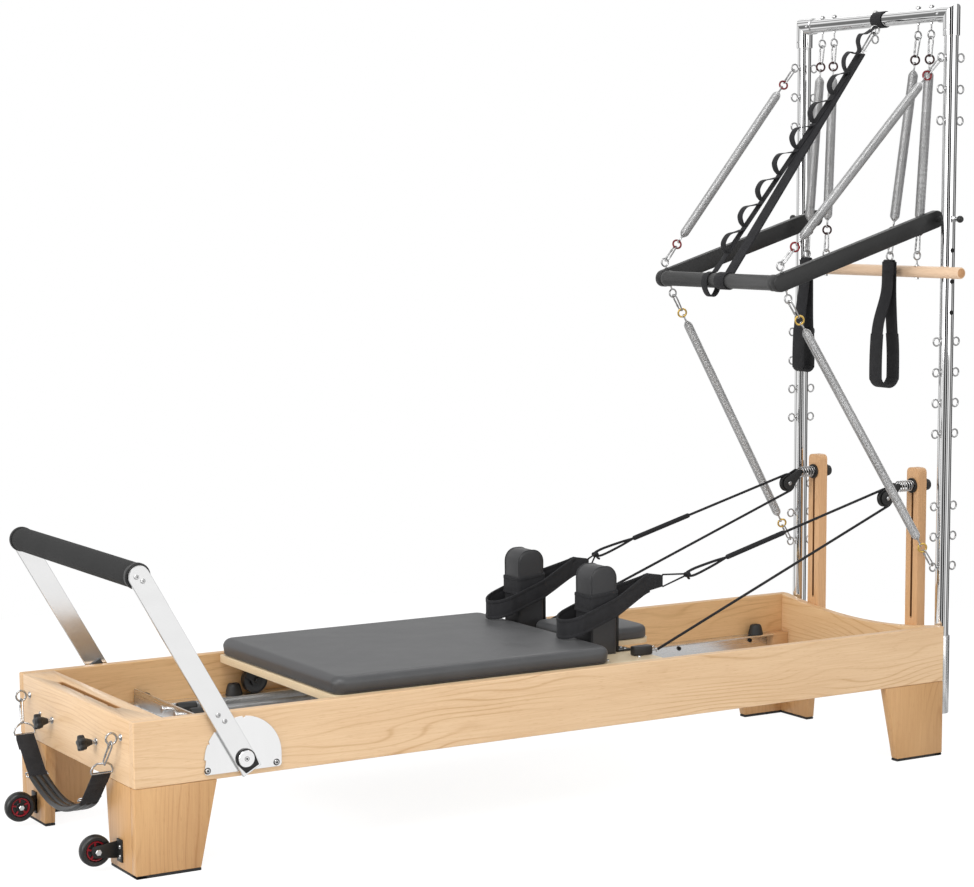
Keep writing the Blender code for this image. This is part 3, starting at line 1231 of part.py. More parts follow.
def build():
    """Make every piece, body by body."""
    side_rails()
    foot_end_board()
    tower_end_board()
    legs()
    tracks()
    spring_bar()
    quadrant_plates()
    wheel_brackets()
    risers()
    tower_posts()
    tower_top_bar()
    carriage_springs()
    ropes()
    stretch_strap()
    gaps = push_springs() + roll_bar_springs()

    foot_bar(body("foot_bar_body", (PIVOT_X, 0.0, PIVOT_Z)))
    axle_z = TRACK_TOP + GAP + ROLLER_RADIUS
    carriage = body("carriage_body", (CARRIAGE_X, 0.0, PLATFORM_TOP))
    carriage_platform(carriage)
    carriage_pad(carriage)
    headrest(body("headrest_body", (HEADREST_X, 0.0, PLATFORM_TOP + GAP)))
    for end, x in (("front", CARRIAGE_X + ROLLER_INSET), ("rear", CARRIAGE_X + PLATFORM_LENGTH - ROLLER_INSET)):
        for side, sign in SIDES:
            y = sign * ROLLER_Y
            roller(f"{side}_{end}_roller", x, y, body(f"{side}_{end}_roller_body", (x, y, axle_z)))
    for index, (side, sign) in enumerate(SIDES):
        shoulder_rest(side, sign, carriage)
        foot_loop(side, sign, carriage)
        wheel_at = (-WHEEL_STANDOFF, sign * WHEEL_Y, WHEEL_Z)
        transport_wheel(side, sign, body(f"{side}_wheel_body", wheel_at))
        star_knob(side, sign, body(f"{side}_knob_body", (0.0, sign * KNOB_Y, KNOB_Z)))
        pulley_block(side, sign, body(f"{side}_pulley_body", (FRAME_LENGTH, sign * RISER_Y, PULLEY_BOLT_Z)))
        sheave(side, sign, body(f"{side}_sheave_body", (PULLEY_X, sign * RISER_Y, PULLEY_Z)))
        pull_pin(side, sign, body(f"{side}_pin_body", (POST_X, sign * POST_Y, PUSH_PIVOT_Z)))
        top_y = TOP_EYES_Y[1] if sign < 0 else TOP_EYES_Y[4]
        loop_body = body(f"{side}_loop_body", top_seat(top_y))
        gaps += loop_spring(side, top_y, HAND_LOOP_Y[index], loop_body)
        hand_loop(side, HAND_LOOP_Y[index], loop_body)
    foot_strap(body("foot_strap_body", (STRAP_EYE_X, 0.0, STRAP_EYE_Z)))
    push_bar(body("push_bar_body", (POST_X, 0.0, PUSH_PIVOT_Z)))
    roll_down_bar(body("roll_down_body", (POST_X - ROLL_BAR_FORWARD, 0.0, ROLL_BAR_Z)))
    print(f"least gap of a spring to itself: {min(gaps) * 1000:.2f} mm")


build()
bpy.data.collections.remove(WORK)
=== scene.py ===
"""Pilates reformer with a spring tower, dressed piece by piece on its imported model.

The pieces are drawn in the bed's own frame, as a maker measures them: x runs from
the outer face of the foot end, y is 0 on the middle line with the near side at -y,
and z is 0 on the floor. Lengths are metres.
"""
import math

import bmesh
import bpy
from mathutils import Matrix, Vector


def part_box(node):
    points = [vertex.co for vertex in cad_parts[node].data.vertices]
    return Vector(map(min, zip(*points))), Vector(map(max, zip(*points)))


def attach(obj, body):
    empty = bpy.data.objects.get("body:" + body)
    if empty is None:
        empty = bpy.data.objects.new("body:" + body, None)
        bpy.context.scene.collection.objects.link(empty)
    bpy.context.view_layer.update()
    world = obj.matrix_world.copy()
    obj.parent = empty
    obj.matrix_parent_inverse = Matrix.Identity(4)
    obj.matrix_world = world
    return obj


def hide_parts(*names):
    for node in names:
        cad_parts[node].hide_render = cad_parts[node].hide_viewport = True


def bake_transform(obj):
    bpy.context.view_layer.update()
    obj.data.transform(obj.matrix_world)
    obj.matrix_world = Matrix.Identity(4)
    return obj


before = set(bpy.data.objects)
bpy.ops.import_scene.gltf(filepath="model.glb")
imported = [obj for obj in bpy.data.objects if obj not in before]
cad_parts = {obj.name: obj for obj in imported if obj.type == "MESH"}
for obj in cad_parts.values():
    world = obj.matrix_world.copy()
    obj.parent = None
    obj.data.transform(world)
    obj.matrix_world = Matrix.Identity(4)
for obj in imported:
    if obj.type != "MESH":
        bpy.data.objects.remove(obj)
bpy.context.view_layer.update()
NEAR_FAR = (("near", -1.0), ("far", 1.0))


# The studio: a pale floor that fades into a white background, three soft lamps and a
# camera at the height and distance of the photograph. Polished metal reflects a white
# room with a few dark upright flags, as studio chrome does.

def put(tree, socket, value):
    """Give an input a value, or a link from another node."""
    if isinstance(value, bpy.types.NodeSocket):
        tree.links.new(value, socket)
    elif value is not None:
        socket.default_value = value


def feed(tree, target, **values):
    """Fill a node's inputs by name, with an underscore for a space."""
    for name, value in values.items():
        put(tree, target.inputs[name.replace("_", " ")], value)


def node(tree, kind, *values, **settings):
    """Add a node: values fill its inputs in order, and a setting is a property or an input by name."""
    new = tree.nodes.new(kind)
    named = {}
    for key, value in settings.items():
        if key.replace("_", " ") in new.inputs:
            named[key] = value
        else:
            setattr(new, key, value)
    for socket, value in zip(new.inputs, values):
        put(tree, socket, value)
    feed(tree, new, **named)
    return new


def calc(tree, operation, *values, clamp=False):
    """Result of one operation on numbers and patterns."""
    return node(tree, "ShaderNodeMath", *values, operation=operation, use_clamp=clamp).outputs[0]


def remap(tree, value, low, high, first=0.0, last=1.0):
    """Pattern carried from one range to another."""
    return node(tree, "ShaderNodeMapRange", value, low, high, first, last).outputs[0]


def between(tree, share, first, second):
    """Colour between two others."""
    return node(tree, "ShaderNodeMix", share, data_type="RGBA", A=first, B=second).outputs["Result"]


def blend_steps(tree, fac, *stops):
    """Colour ramp of (place, grey or colour) stops."""
    ramp = node(tree, "ShaderNodeValToRGB", fac)
    while len(ramp.color_ramp.elements) < len(stops):
        ramp.color_ramp.elements.new(0.5)
    for element, (place, tone) in zip(ramp.color_ramp.elements, stops):
        element.position = place
        element.color = (*tone, 1.0) if isinstance(tone, tuple) else (tone, tone, tone, 1.0)
    return ramp.outputs["Color"]


def soft_lamp(name, place, aim, width, watts):
    """Square lamp with a diffuser, turned toward a point."""
    lamp = bpy.data.lights.new(name, "AREA")
    lamp.size = width
    lamp.energy = watts
    obj = bpy.data.objects.new(name, lamp)
    obj.location = place
    obj.rotation_euler = (Vector(aim) - Vector(place)).to_track_quat("-Z", "Y").to_euler()
    bpy.context.scene.collection.objects.link(obj)


WHITE = (1.0, 1.0, 1.0, 1.0)
ROOM_LIGHT = 0.58
FLAGS = ((0.0, 0.95), (0.03, 0.9), (0.045, 0.45), (0.07, 0.38), (0.075, 0.02), (0.122, 0.02),
         (0.129, 0.8), (0.147, 0.8), (0.153, 0.02), (0.21, 0.02), (0.217, 0.85), (0.246, 0.85),
         (0.252, 0.03), (0.276, 0.03), (0.283, 0.96), (0.35, 0.96), (0.357, 0.06), (0.41, 0.06),
         (0.418, 0.7), (0.455, 0.7), (0.464, 0.03), (0.6, 0.05), (0.62, 0.45), (0.7, 0.6),
         (0.712, 0.12), (0.738, 0.12), (0.75, 0.96), (0.84, 0.96), (0.85, 0.2), (0.89, 0.2),
         (0.902, 0.95), (1.0, 0.95))
LEVELS = ((0.0, 0.66), (0.205, 0.66), (0.216, 0.42), (0.275, 0.42), (0.29, 1.0), (0.745, 1.0), (0.755, 0.28),
          (0.785, 0.28), (0.797, 1.0), (0.9, 0.95), (1.0, 0.45))
FLAG_EDGE = 0.24
FLAG_END = 0.4
FLAG_FADE = 0.85
FLOOR_RADIUS = 3.2
world = bpy.data.worlds.new("white room")
world.use_nodes = True
bpy.context.scene.world = world
room = world.node_tree
room.nodes.clear()
rays = node(room, "ShaderNodeLightPath")
shiny = calc(room, "MAXIMUM", rays.outputs["Is Glossy Ray"], rays.outputs["Is Transmission Ray"])
seen = calc(room, "MAXIMUM", shiny, rays.outputs["Is Camera Ray"])
toward = node(room, "ShaderNodeSeparateXYZ", node(room, "ShaderNodeTexCoord").outputs["Generated"])
bearing = calc(room, "ARCTAN2", toward.outputs["Y"], toward.outputs["X"])
flags = blend_steps(room, calc(room, "MULTIPLY_ADD", bearing, 1 / (2 * math.pi), 0.5), *FLAGS)
levels = blend_steps(room, calc(room, "MULTIPLY_ADD", toward.outputs["Z"], 0.5, 0.5), *LEVELS)
above = remap(room, calc(room, "ABSOLUTE", toward.outputs["Z"]), FLAG_EDGE, FLAG_END, 0.0, FLAG_FADE)
faded_flags = calc(room, "MULTIPLY_ADD", calc(room, "SUBTRACT", 1.0, flags), above, flags)
view = between(room, shiny, WHITE, calc(room, "MULTIPLY", faded_flags, levels))
light = node(room, "ShaderNodeBackground", WHITE, ROOM_LIGHT)
backdrop = node(room, "ShaderNodeBackground", view, 1.0)
either = node(room, "ShaderNodeMixShader", seen, light.outputs[0], backdrop.outputs[0])
node(room, "ShaderNodeOutputWorld", either.outputs[0])

soft_lamp("key_lamp", (-2.6, -2.2, 4.4), (0.0, 0.0, 0.4), 3.0, 128.0)
soft_lamp("end_lamp", (-5.6, -0.9, 1.9), (0.0, 0.0, 0.5), 2.5, 95.0)
soft_lamp("front_lamp", (1.2, -5.5, 2.2), (0.2, 0.0, 0.6), 3.0, 45.0)
soft_lamp("tower_lamp", (2.8, 1.8, 4.4), (0.8, 0.0, 0.8), 2.5, 35.0)

floor_mesh = bmesh.new()
bmesh.ops.create_circle(floor_mesh, cap_ends=True, segments=96, radius=FLOOR_RADIUS)
floor_data = bpy.data.meshes.new("floor")
floor_mesh.to_mesh(floor_data)
floor_mesh.free()
floor = bpy.data.objects.new("floor", floor_data)
bpy.context.scene.collection.objects.link(floor)
paint = bpy.data.materials.new("pale_floor")
paint.use_nodes = True
tree = paint.node_tree
tree.nodes.clear()
rays = node(tree, "ShaderNodeLightPath")
lit = calc(tree, "MULTIPLY", rays.outputs["Is Camera Ray"], 0.74)
matt = node(tree, "ShaderNodeBsdfDiffuse", (0.86, 0.86, 0.86, 1.0))
glow = node(tree, "ShaderNodeEmission", WHITE, 1.2)
mixed = node(tree, "ShaderNodeMixShader", lit, matt.outputs[0], glow.outputs[0])
clear = node(tree, "ShaderNodeBsdfTransparent")
paper = node(tree, "ShaderNodeMixShader", rays.outputs["Is Glossy Ray"], mixed.outputs[0], clear.outputs[0])
node(tree, "ShaderNodeOutputMaterial", paper.outputs[0])
floor_data.materials.append(paint)

CAMERA_PLACE = (-3.1885, -5.4038, 1.4826)
CAMERA_YAW = 32.976
CAMERA_PITCH = 7.241
lens = bpy.data.cameras.new("camera")
lens.lens = 91.83
lens.sensor_width = 36.0
lens.sensor_fit = "HORIZONTAL"
lens.shift_x = -0.1267
lens.shift_y = 0.079
camera = bpy.data.objects.new("camera", lens)
camera.location = CAMERA_PLACE
camera.rotation_euler = (math.radians(90 - CAMERA_PITCH), 0.0, math.radians(-CAMERA_YAW))
bpy.context.scene.collection.objects.link(camera)
bpy.context.scene.camera = camera
bpy.context.scene.view_settings.view_transform = "Standard"


# Side boards: two long boards of light maple under a satin varnish. They are screwed
# to the end boards from inside, and the grain runs the length of the bed.

rail_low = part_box("near_side_rail")[0]
rail_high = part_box("far_side_rail")[1]
BED = Matrix.Translation((rail_low.x, (rail_low.y + rail_high.y) / 2, 0.0))
LENGTH = 2.323
HALF_WIDTH = 0.36
BOARD = 0.026
RAIL_TOP = 0.354
RAIL_BOTTOM = 0.204
INNER = HALF_WIDTH - BOARD


def shader_group(name, inputs, outputs):
    """Empty group with named sockets, and its two end nodes."""
    group = bpy.data.node_groups.new(name, "ShaderNodeTree")
    for label, kind, value in inputs:
        socket = group.interface.new_socket(label, in_out="INPUT", socket_type=f"NodeSocket{kind}")
        if value is not None:
            socket.default_value = value
    for label, kind in outputs:
        group.interface.new_socket(label, in_out="OUTPUT", socket_type=f"NodeSocket{kind}")
    return group, group.nodes.new("NodeGroupInput"), group.nodes.new("NodeGroupOutput")


def noise(tree, vector, scale, detail):
    """Cloudy pattern."""
    return node(tree, "ShaderNodeTexNoise", Vector=vector, Scale=scale, Detail=detail).outputs["Fac"]


def streaks(tree, vector, along, across, seed, detail):
    """Cloudy pattern drawn out in x."""
    drawn = node(tree, "ShaderNodeMapping", vector, (seed, seed * 0.7, seed * 1.3), None,
                 (along, across, across))
    return noise(tree, drawn.outputs[0], 1.0, detail)


def grain_group():
    """Sawn wood, long in x: growth rings, fibres, short flecks and slow patches of tone."""
    group, start, end = shader_group(
        "wood grain",
        [("Vector", "Vector", None), ("Light", "Color", (0.8, 0.6, 0.4, 1)),
         ("Dark", "Color", (0.5, 0.3, 0.15, 1)), ("Figure", "Float", 0.5), ("Spacing", "Float", 60.0)],
        [("Color", "Color"), ("Roughness", "Float"), ("Height", "Float")])
    given = start.outputs
    vector = given["Vector"]
    parts = node(group, "ShaderNodeSeparateXYZ", vector).outputs
    leaning = calc(group, "MULTIPLY_ADD", parts["Y"], 0.8, parts["Z"])
    turns = calc(group, "MULTIPLY", leaning, given["Spacing"])
    warped = calc(group, "MULTIPLY_ADD", streaks(group, vector, 1.1, 6.0, 0.0, 2.0), 15.0, turns)
    wave = calc(group, "SINE", calc(group, "MULTIPLY", warped, 2 * math.pi))
    level = calc(group, "MULTIPLY_ADD", wave, 0.5, 0.5)
    faded = calc(group, "MULTIPLY_ADD", level, 0.16, calc(group, "POWER", level, 14.0))
    broad = remap(group, streaks(group, vector, 2.6, 11.0, 7.0, 1.0), 0.38, 0.66, 0.12)
    lines = calc(group, "MULTIPLY", faded, broad)
    fibre = streaks(group, vector, 9.0, 380.0, 1.0, 3.0)
    patch = streaks(group, vector, 1.8, 8.0, 3.0, 2.0)
    fleck = remap(group, streaks(group, vector, 42.0, 620.0, 5.0, 1.0), 0.62, 0.74, 0.0, 0.3)
    tone = calc(group, "MULTIPLY_ADD", fibre, 0.62, calc(group, "MULTIPLY", lines, given["Figure"]))
    tone = calc(group, "MULTIPLY_ADD", patch, 0.95, tone)
    tone = calc(group, "SUBTRACT", calc(group, "ADD", tone, fleck), 0.6, clamp=True)
    feed(group, end, Color=between(group, tone, given["Light"], given["Dark"]),
         Roughness=remap(group, fibre, 0.3, 0.7, 0.36, 0.5),
         Height=calc(group, "MULTIPLY_ADD", fibre, 0.6, lines))
    return group


def surface(name):
    """New material, its nodes, its shader and its object coordinates."""
    material = bpy.data.materials.new(name)
    material.use_nodes = True
    tree = material.node_tree
    return material, tree, tree.nodes["Principled BSDF"], node(tree, "ShaderNodeTexCoord").outputs["Object"]


def relief(tree, shader, height, depth, strength=1.0):
    """Fine relief on a surface from a height pattern."""
    bump = node(tree, "ShaderNodeBump", Height=height, Distance=depth, Strength=strength)
    feed(tree, shader, Normal=bump.outputs["Normal"])


def wood(name, light, dark, turn=(0.0, 0.0, 0.0), shift=(0.0, 0.0, 0.0), figure=0.32, spacing=60.0):
    """Varnished wood whose grain is turned along a board."""
    material, tree, shader, place = surface(name)
    laid = node(tree, "ShaderNodeMapping", place, shift, turn).outputs[0]
    grain = node(tree, "ShaderNodeGroup", node_tree=GRAIN, Vector=laid, Light=(*light, 1.0),
                 Dark=(*dark, 1.0), Figure=figure, Spacing=spacing).outputs
    feed(tree, shader, Base_Color=grain["Color"], Roughness=grain["Roughness"], Coat_Weight=0.18,
         Coat_Roughness=0.28)
    relief(tree, shader, grain["Height"], 0.00012, 0.35)
    return material


def dress(name, look):
    """Give a CAD node its material."""
    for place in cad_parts[name].material_slots:
        place.material = look


QUARTER = math.pi / 2
MAPLE_LIGHT = (0.8, 0.562, 0.338)
MAPLE_DARK = (0.56, 0.318, 0.138)
AMBER_LIGHT = (0.64, 0.38, 0.17)
AMBER_DARK = (0.42, 0.198, 0.066)
GRAIN = grain_group()
for side, sign in NEAR_FAR:
    # The far board gets a darker, more orange maple than the near one: painted shade for its inner face,
    # which lies in shade.
    rail_tones_far_shaded = (MAPLE_LIGHT, MAPLE_DARK) if side == "near" else ((0.715, 0.452, 0.222), (0.47, 0.246, 0.09))
    dress(f"{side}_side_rail",
          wood(f"{side}_rail_maple", *rail_tones_far_shaded, shift=(sign * 0.7, 0.11, 0.045), figure=0.55))


# End boards: a deep beam at the foot end, with a clamp slot and three notches cut in its
# top, and a thin board at the tower end whose top edge dips in a shallow arc.

def join(bm, part, place=None):
    """Add a finished part to a piece, facing outwards."""
    if place is not None:
        part.transform(place)
    bmesh.ops.recalc_face_normals(part, faces=part.faces)
    mesh = bpy.data.meshes.new("part")
    part.to_mesh(mesh)
    part.free()
    bm.from_mesh(mesh)
    bpy.data.meshes.remove(mesh)


def soften(part, edges, width, segments=2):
    """Round some edges."""
    bmesh.ops.bevel(part, geom=list(edges), offset=width, segments=segments, profile=0.5,
                    affect="EDGES", material=-1, clamp_overlap=True)


def box_part(low, high):
    """Plain box between two corners."""
    low, high = Vector(low), Vector(high)
    part = bmesh.new()
    size = Matrix.Diagonal((*(high - low), 1.0))
    bmesh.ops.create_cube(part, size=1.0, matrix=Matrix.Translation((low + high) / 2) @ size)
    return part


def block(bm, low, high, edge=0.0015, segments=2):
    """Add a box with rounded edges."""
    part = box_part(low, high)
    bmesh.ops.recalc_face_normals(part, faces=part.faces)
    if edge:
        soften(part, part.edges, edge, segments)
    join(bm, part)


def slab(bm, outline, wall, place, edge=0.001, segments=2):
    """Add a flat outline given a thickness, with its rims rounded."""
    part = bmesh.new()
    face = part.faces.new([part.verts.new((u, v, -wall / 2)) for u, v in outline])
    grown = bmesh.ops.extrude_face_region(part, geom=[face])["geom"]
    bmesh.ops.translate(part, verts=[v for v in grown if isinstance(v, bmesh.types.BMVert)],
                        vec=(0.0, 0.0, wall))
    bmesh.ops.recalc_face_normals(part, faces=part.faces)
    if edge:
        soften(part, [e for e in part.edges if e.calc_face_angle(0.0) > 0.7], edge, segments)
    join(bm, part, place)


def arc(centre, radius, start, end, count):
    """Points on an arc, angles in degrees."""
    turns = [math.radians(start + (end - start) * i / (count - 1)) for i in range(count)]
    return [(centre[0] + radius * math.cos(t), centre[1] + radius * math.sin(t)) for t in turns]


def side_plane(y):
    """Upright plane along the bed: u is x and v is z."""
    return Matrix.Translation((0.0, y, 0.0)) @ Matrix.Rotation(QUARTER, 4, "X")


def end_plane(x):
    """Upright plane across the bed: u is y and v is z."""
    turned = Matrix(((0, 0, 1, 0), (1, 0, 0, 0), (0, 1, 0, 0), (0, 0, 0, 1)))
    return Matrix.Translation((x, 0.0, 0.0)) @ turned


def piece(name, bm, look, body, finish, *nodes, smooth=38):
    """Finished piece at its place in the model, on a body if one is named, standing for some CAD nodes."""
    bm.transform(BED)
    mesh = bpy.data.meshes.new(name)
    bm.to_mesh(mesh)
    bm.free()
    mesh.shade_smooth()
    mesh.set_sharp_from_angle(angle=math.radians(smooth))
    mesh.materials.append(look)
    obj = bpy.data.objects.new(name, mesh)
    bpy.context.scene.collection.objects.link(obj)
    if body:
        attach(obj, body)
    if nodes:
        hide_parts(*nodes)
    return obj


def bent(made):
    """Bake a piece's place into its mesh."""
    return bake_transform(made)


def slot_cutter(half_width, half_length, depth, edge, notch_edge):
    """Shape of the clamp slot with its three notches."""
    cutter = bmesh.new()
    above = RAIL_TOP + 0.01
    block(cutter, (SLOT_X - half_width, -half_length, RAIL_TOP - depth),
          (SLOT_X + half_width, half_length, above), edge)
    for y in NOTCHES_Y:
        block(cutter, (SLOT_X - 0.012, y - 0.006, RAIL_TOP - NOTCH_DEPTH),
              (SLOT_X, y + 0.006, above), notch_edge)
    return cutter


def carved(obj, cutter):
    """Take a cutter's shape out of a piece."""
    tool = bpy.data.objects.new("cutter", bpy.data.meshes.new("cutter"))
    cutter.transform(BED)
    cutter.to_mesh(tool.data)
    cutter.free()
    bpy.context.scene.collection.objects.link(tool)
    change = obj.modifiers.new("cut", "BOOLEAN")
    change.object = tool
    change.solver = "EXACT"
    change.use_self = True
    bpy.context.view_layer.update()
    mesh = bpy.data.meshes.new_from_object(obj.evaluated_get(bpy.context.evaluated_depsgraph_get()))
    obj.modifiers.clear()
    obj.data = mesh
    bpy.data.objects.remove(tool)


END_TURN = (0.0, 0.0, QUARTER)
end_maple = wood("end_maple", MAPLE_LIGHT, MAPLE_DARK, END_TURN, (0.3, 0.5, 0.2), 0.5)
GAP = 0.0003
BEAM_DEPTH = 0.08
SLOT_X = 0.038
SLOT_HALF = 0.185
SLOT_DEPTH = 0.07
NOTCH_DEPTH = 0.03
NOTCHES_Y = (-0.147, 0.0, 0.147)
beam = bmesh.new()
block(beam, (0.0, -INNER + GAP, RAIL_BOTTOM), (BEAM_DEPTH, INNER - GAP, RAIL_TOP), 0.002, 3)
foot_beam = piece("foot_beam", beam, end_maple, "frame", "light_maple", "foot_end_board")
carved(foot_beam, slot_cutter(0.008, SLOT_HALF, SLOT_DEPTH, 0.003, 0.001))
# Painted shade: a liner of darker maple lines the slot's walls and floor and stands for the shade inside the
# slot.
slot_shade_wood = wood("slot_shade_maple", (0.52, 0.27, 0.105), (0.33, 0.15, 0.05), END_TURN, (0.2, 0.1, 0.5), 0.3)
liner_low = (SLOT_X - 0.0078, -SLOT_HALF + 0.0002, RAIL_TOP - SLOT_DEPTH + 0.0002)
liner_high = (SLOT_X + 0.0078, SLOT_HALF - 0.0002, RAIL_TOP - 0.002)
liner = bmesh.new()
block(liner, liner_low, liner_high, 0.0)
slot_shade_liner = piece("slot_shade_liner", liner, slot_shade_wood, "frame", "light_maple")
carved(slot_shade_liner, slot_cutter(0.0072, SLOT_HALF - 0.001, SLOT_DEPTH - 0.003, 0.0, 0.0))

SCOOP = 0.027
across = INNER - GAP
scoop_radius = (across ** 2 + SCOOP ** 2) / (2 * SCOOP)
half_angle = math.degrees(math.asin(across / scoop_radius))
outline = [(-across, RAIL_BOTTOM), (across, RAIL_BOTTOM)]
outline += arc((0.0, RAIL_TOP - SCOOP + scoop_radius), scoop_radius, 270 + half_angle, 270 - half_angle, 41)
board = bmesh.new()
slab(board, outline, BOARD, end_plane(LENGTH - BOARD / 2), 0.002, 3)
tower_maple = wood("tower_board_maple", (0.8, 0.545, 0.3), (0.57, 0.31, 0.125), END_TURN,
                   (0.9, 0.2, 0.6), 0.55)
piece("tower_board", board, tower_maple, "frame", "light_maple", "tower_end_board")


# Legs: each corner has two tapered maple boards glued in an L, the grain upright, on a
# black rubber foot that is screwed under them.

FOOT = 0.007
SIDE_BOARD = (0.1555, 0.198)
END_BOARD = (0.1507, 0.171)
leg_top = RAIL_BOTTOM - GAP
upright_maple = wood("leg_maple", AMBER_LIGHT, AMBER_DARK, (0.0, QUARTER, 0.0), (0.1, 0.4, 0.3), 0.4, 48.0)
rubber, tree, shader, place = surface("foot_rubber")
speckle = noise(tree, place, 900.0, 2.0)
feed(tree, shader, Base_Color=blend_steps(tree, speckle, (0.3, 0.008), (0.7, 0.02)), Roughness=0.62)
relief(tree, shader, speckle, 0.0003, 0.5)
for end, x0, inward in (("foot", 0.0, 1.0), ("tower", LENGTH, -1.0)):
    for side, sign in NEAR_FAR:
        edge = sign * HALF_WIDTH
        side_board = [(x0, FOOT), (x0 + inward * SIDE_BOARD[0], FOOT), (x0 + inward * SIDE_BOARD[1], leg_top),
                      (x0, leg_top)]
        end_board = [(edge - sign * BOARD, FOOT), (edge - sign * END_BOARD[0], FOOT),
                     (edge - sign * END_BOARD[1], leg_top), (edge - sign * BOARD, leg_top)]
        leg = bmesh.new()
        slab(leg, side_board, BOARD, side_plane(sign * (HALF_WIDTH - BOARD / 2)), 0.002)
        slab(leg, end_board, BOARD, end_plane(x0 + inward * BOARD / 2), 0.002)
        piece(f"{end}_leg_boards_{side}", leg, upright_maple, "frame", "light_maple", f"{end}_leg_{side}")
        pad = bmesh.new()
        outer = (x0 + inward * 0.0008, edge - sign * 0.0008)
        block(pad, (*outer, 0.0), (x0 + inward * 0.156, edge - sign * BOARD, FOOT), 0.0018)
        block(pad, (*outer, 0.0002), (x0 + inward * BOARD, edge - sign * 0.151, FOOT), 0.0018)
        piece(f"{end}_foot_{side}", pad, rubber, "frame", "tyre_rubber")


# Tracks: an aluminium angle screwed to the inner face of each side board, on which the
# carriage rolls. Each has a maple spacer at its tower end and two rubber cone stoppers.

def speckle_group():
    """Fine grain of a moulded, brushed or cast skin: a tone and a height."""
    group, start, end = shader_group("fine skin", [("Vector", "Vector", None), ("Scale", "Float", 600.0)],
                                     [("Tone", "Float"), ("Height", "Float")])
    fine = noise(group, start.outputs["Vector"], start.outputs["Scale"], 3.0)
    wide = noise(group, start.outputs["Vector"], 7.0, 2.0)
    tone = calc(group, "MULTIPLY_ADD", fine, 0.5, wide)
    feed(group, end, Tone=remap(group, tone, 0.45, 1.05), Height=fine)
    return group


def skin(name, dark, light, low, high, metallic=0.0, squeeze=(1.0, 1.0, 1.0), scale=600.0, depth=0.0001,
         specular=0.5):
    """Plastic, rubber or metal whose colour and gloss vary with a fine grain."""
    material, tree, shader, place = surface(name)
    laid = node(tree, "ShaderNodeMapping", place, None, None, squeeze).outputs[0]
    grain = node(tree, "ShaderNodeGroup", node_tree=SKIN, Vector=laid, Scale=scale).outputs
    feed(tree, shader, Base_Color=blend_steps(tree, grain["Tone"], (0.15, dark), (0.85, light)),
         Roughness=remap(tree, grain["Tone"], 0.2, 0.8, low, high), Metallic=metallic,
         Specular_IOR_Level=specular)
    relief(tree, shader, grain["Height"], depth, 0.4)
    return material


def facing(axis):
    """Turn that carries z to an axis."""
    return Vector(axis).to_track_quat("Z", "Y").to_matrix().to_4x4()


def lathe(bm, profile, centre, axis, sides=40):
    """Add a shape turned from a line of (radius, along) points."""
    part = bmesh.new()
    verts = [part.verts.new((radius, 0.0, along)) for radius, along in profile]
    edges = [part.edges.new(pair) for pair in zip(verts, verts[1:])]
    bmesh.ops.spin(part, geom=verts + edges, axis=(0.0, 0.0, 1.0), cent=(0.0, 0.0, 0.0), steps=sides,
                   angle=2 * math.pi, use_merge=True)
    bmesh.ops.remove_doubles(part, verts=part.verts, dist=0.000002)
    join(bm, part, Matrix.Translation(Vector(centre)) @ facing(axis))


def rod(bm, start, end, radius, end_radius=None, sides=32, edge=0.0006):
    """Add a rod or cone with rounded rims."""
    start, end = Vector(start), Vector(end)
    length = (end - start).length
    last = radius if end_radius is None else end_radius
    profile = [(0.0, 0.0), (radius - edge, 0.0), (radius, edge), (last, length - edge), (last - edge, length),
               (0.0, length)]
    lathe(bm, profile, start, end - start, sides)


def nut(bm, start, end, radius, edge=0.0008):
    """Add a hexagon nut or bolt head."""
    rod(bm, start, end, radius, sides=6, edge=edge)


def two_sided(half, closed=True):
    """Profile of a wheel whose two sides are alike, from the profile of one side."""
    whole = half + [(radius, -along) for radius, along in reversed(half) if along]
    return whole + whole[:1] if closed else whole


def screw_head(bm, centre, axis, radius):
    """Add a low round head with a socket in it."""
    rise = radius * 0.5
    profile = [(0.0, rise * 0.1), (radius * 0.42, rise * 0.1), (radius * 0.42, rise), (radius * 0.8, rise),
               (radius, rise * 0.45), (radius, 0.0), (0.0, 0.0)]
    lathe(bm, profile, centre, axis, 18)


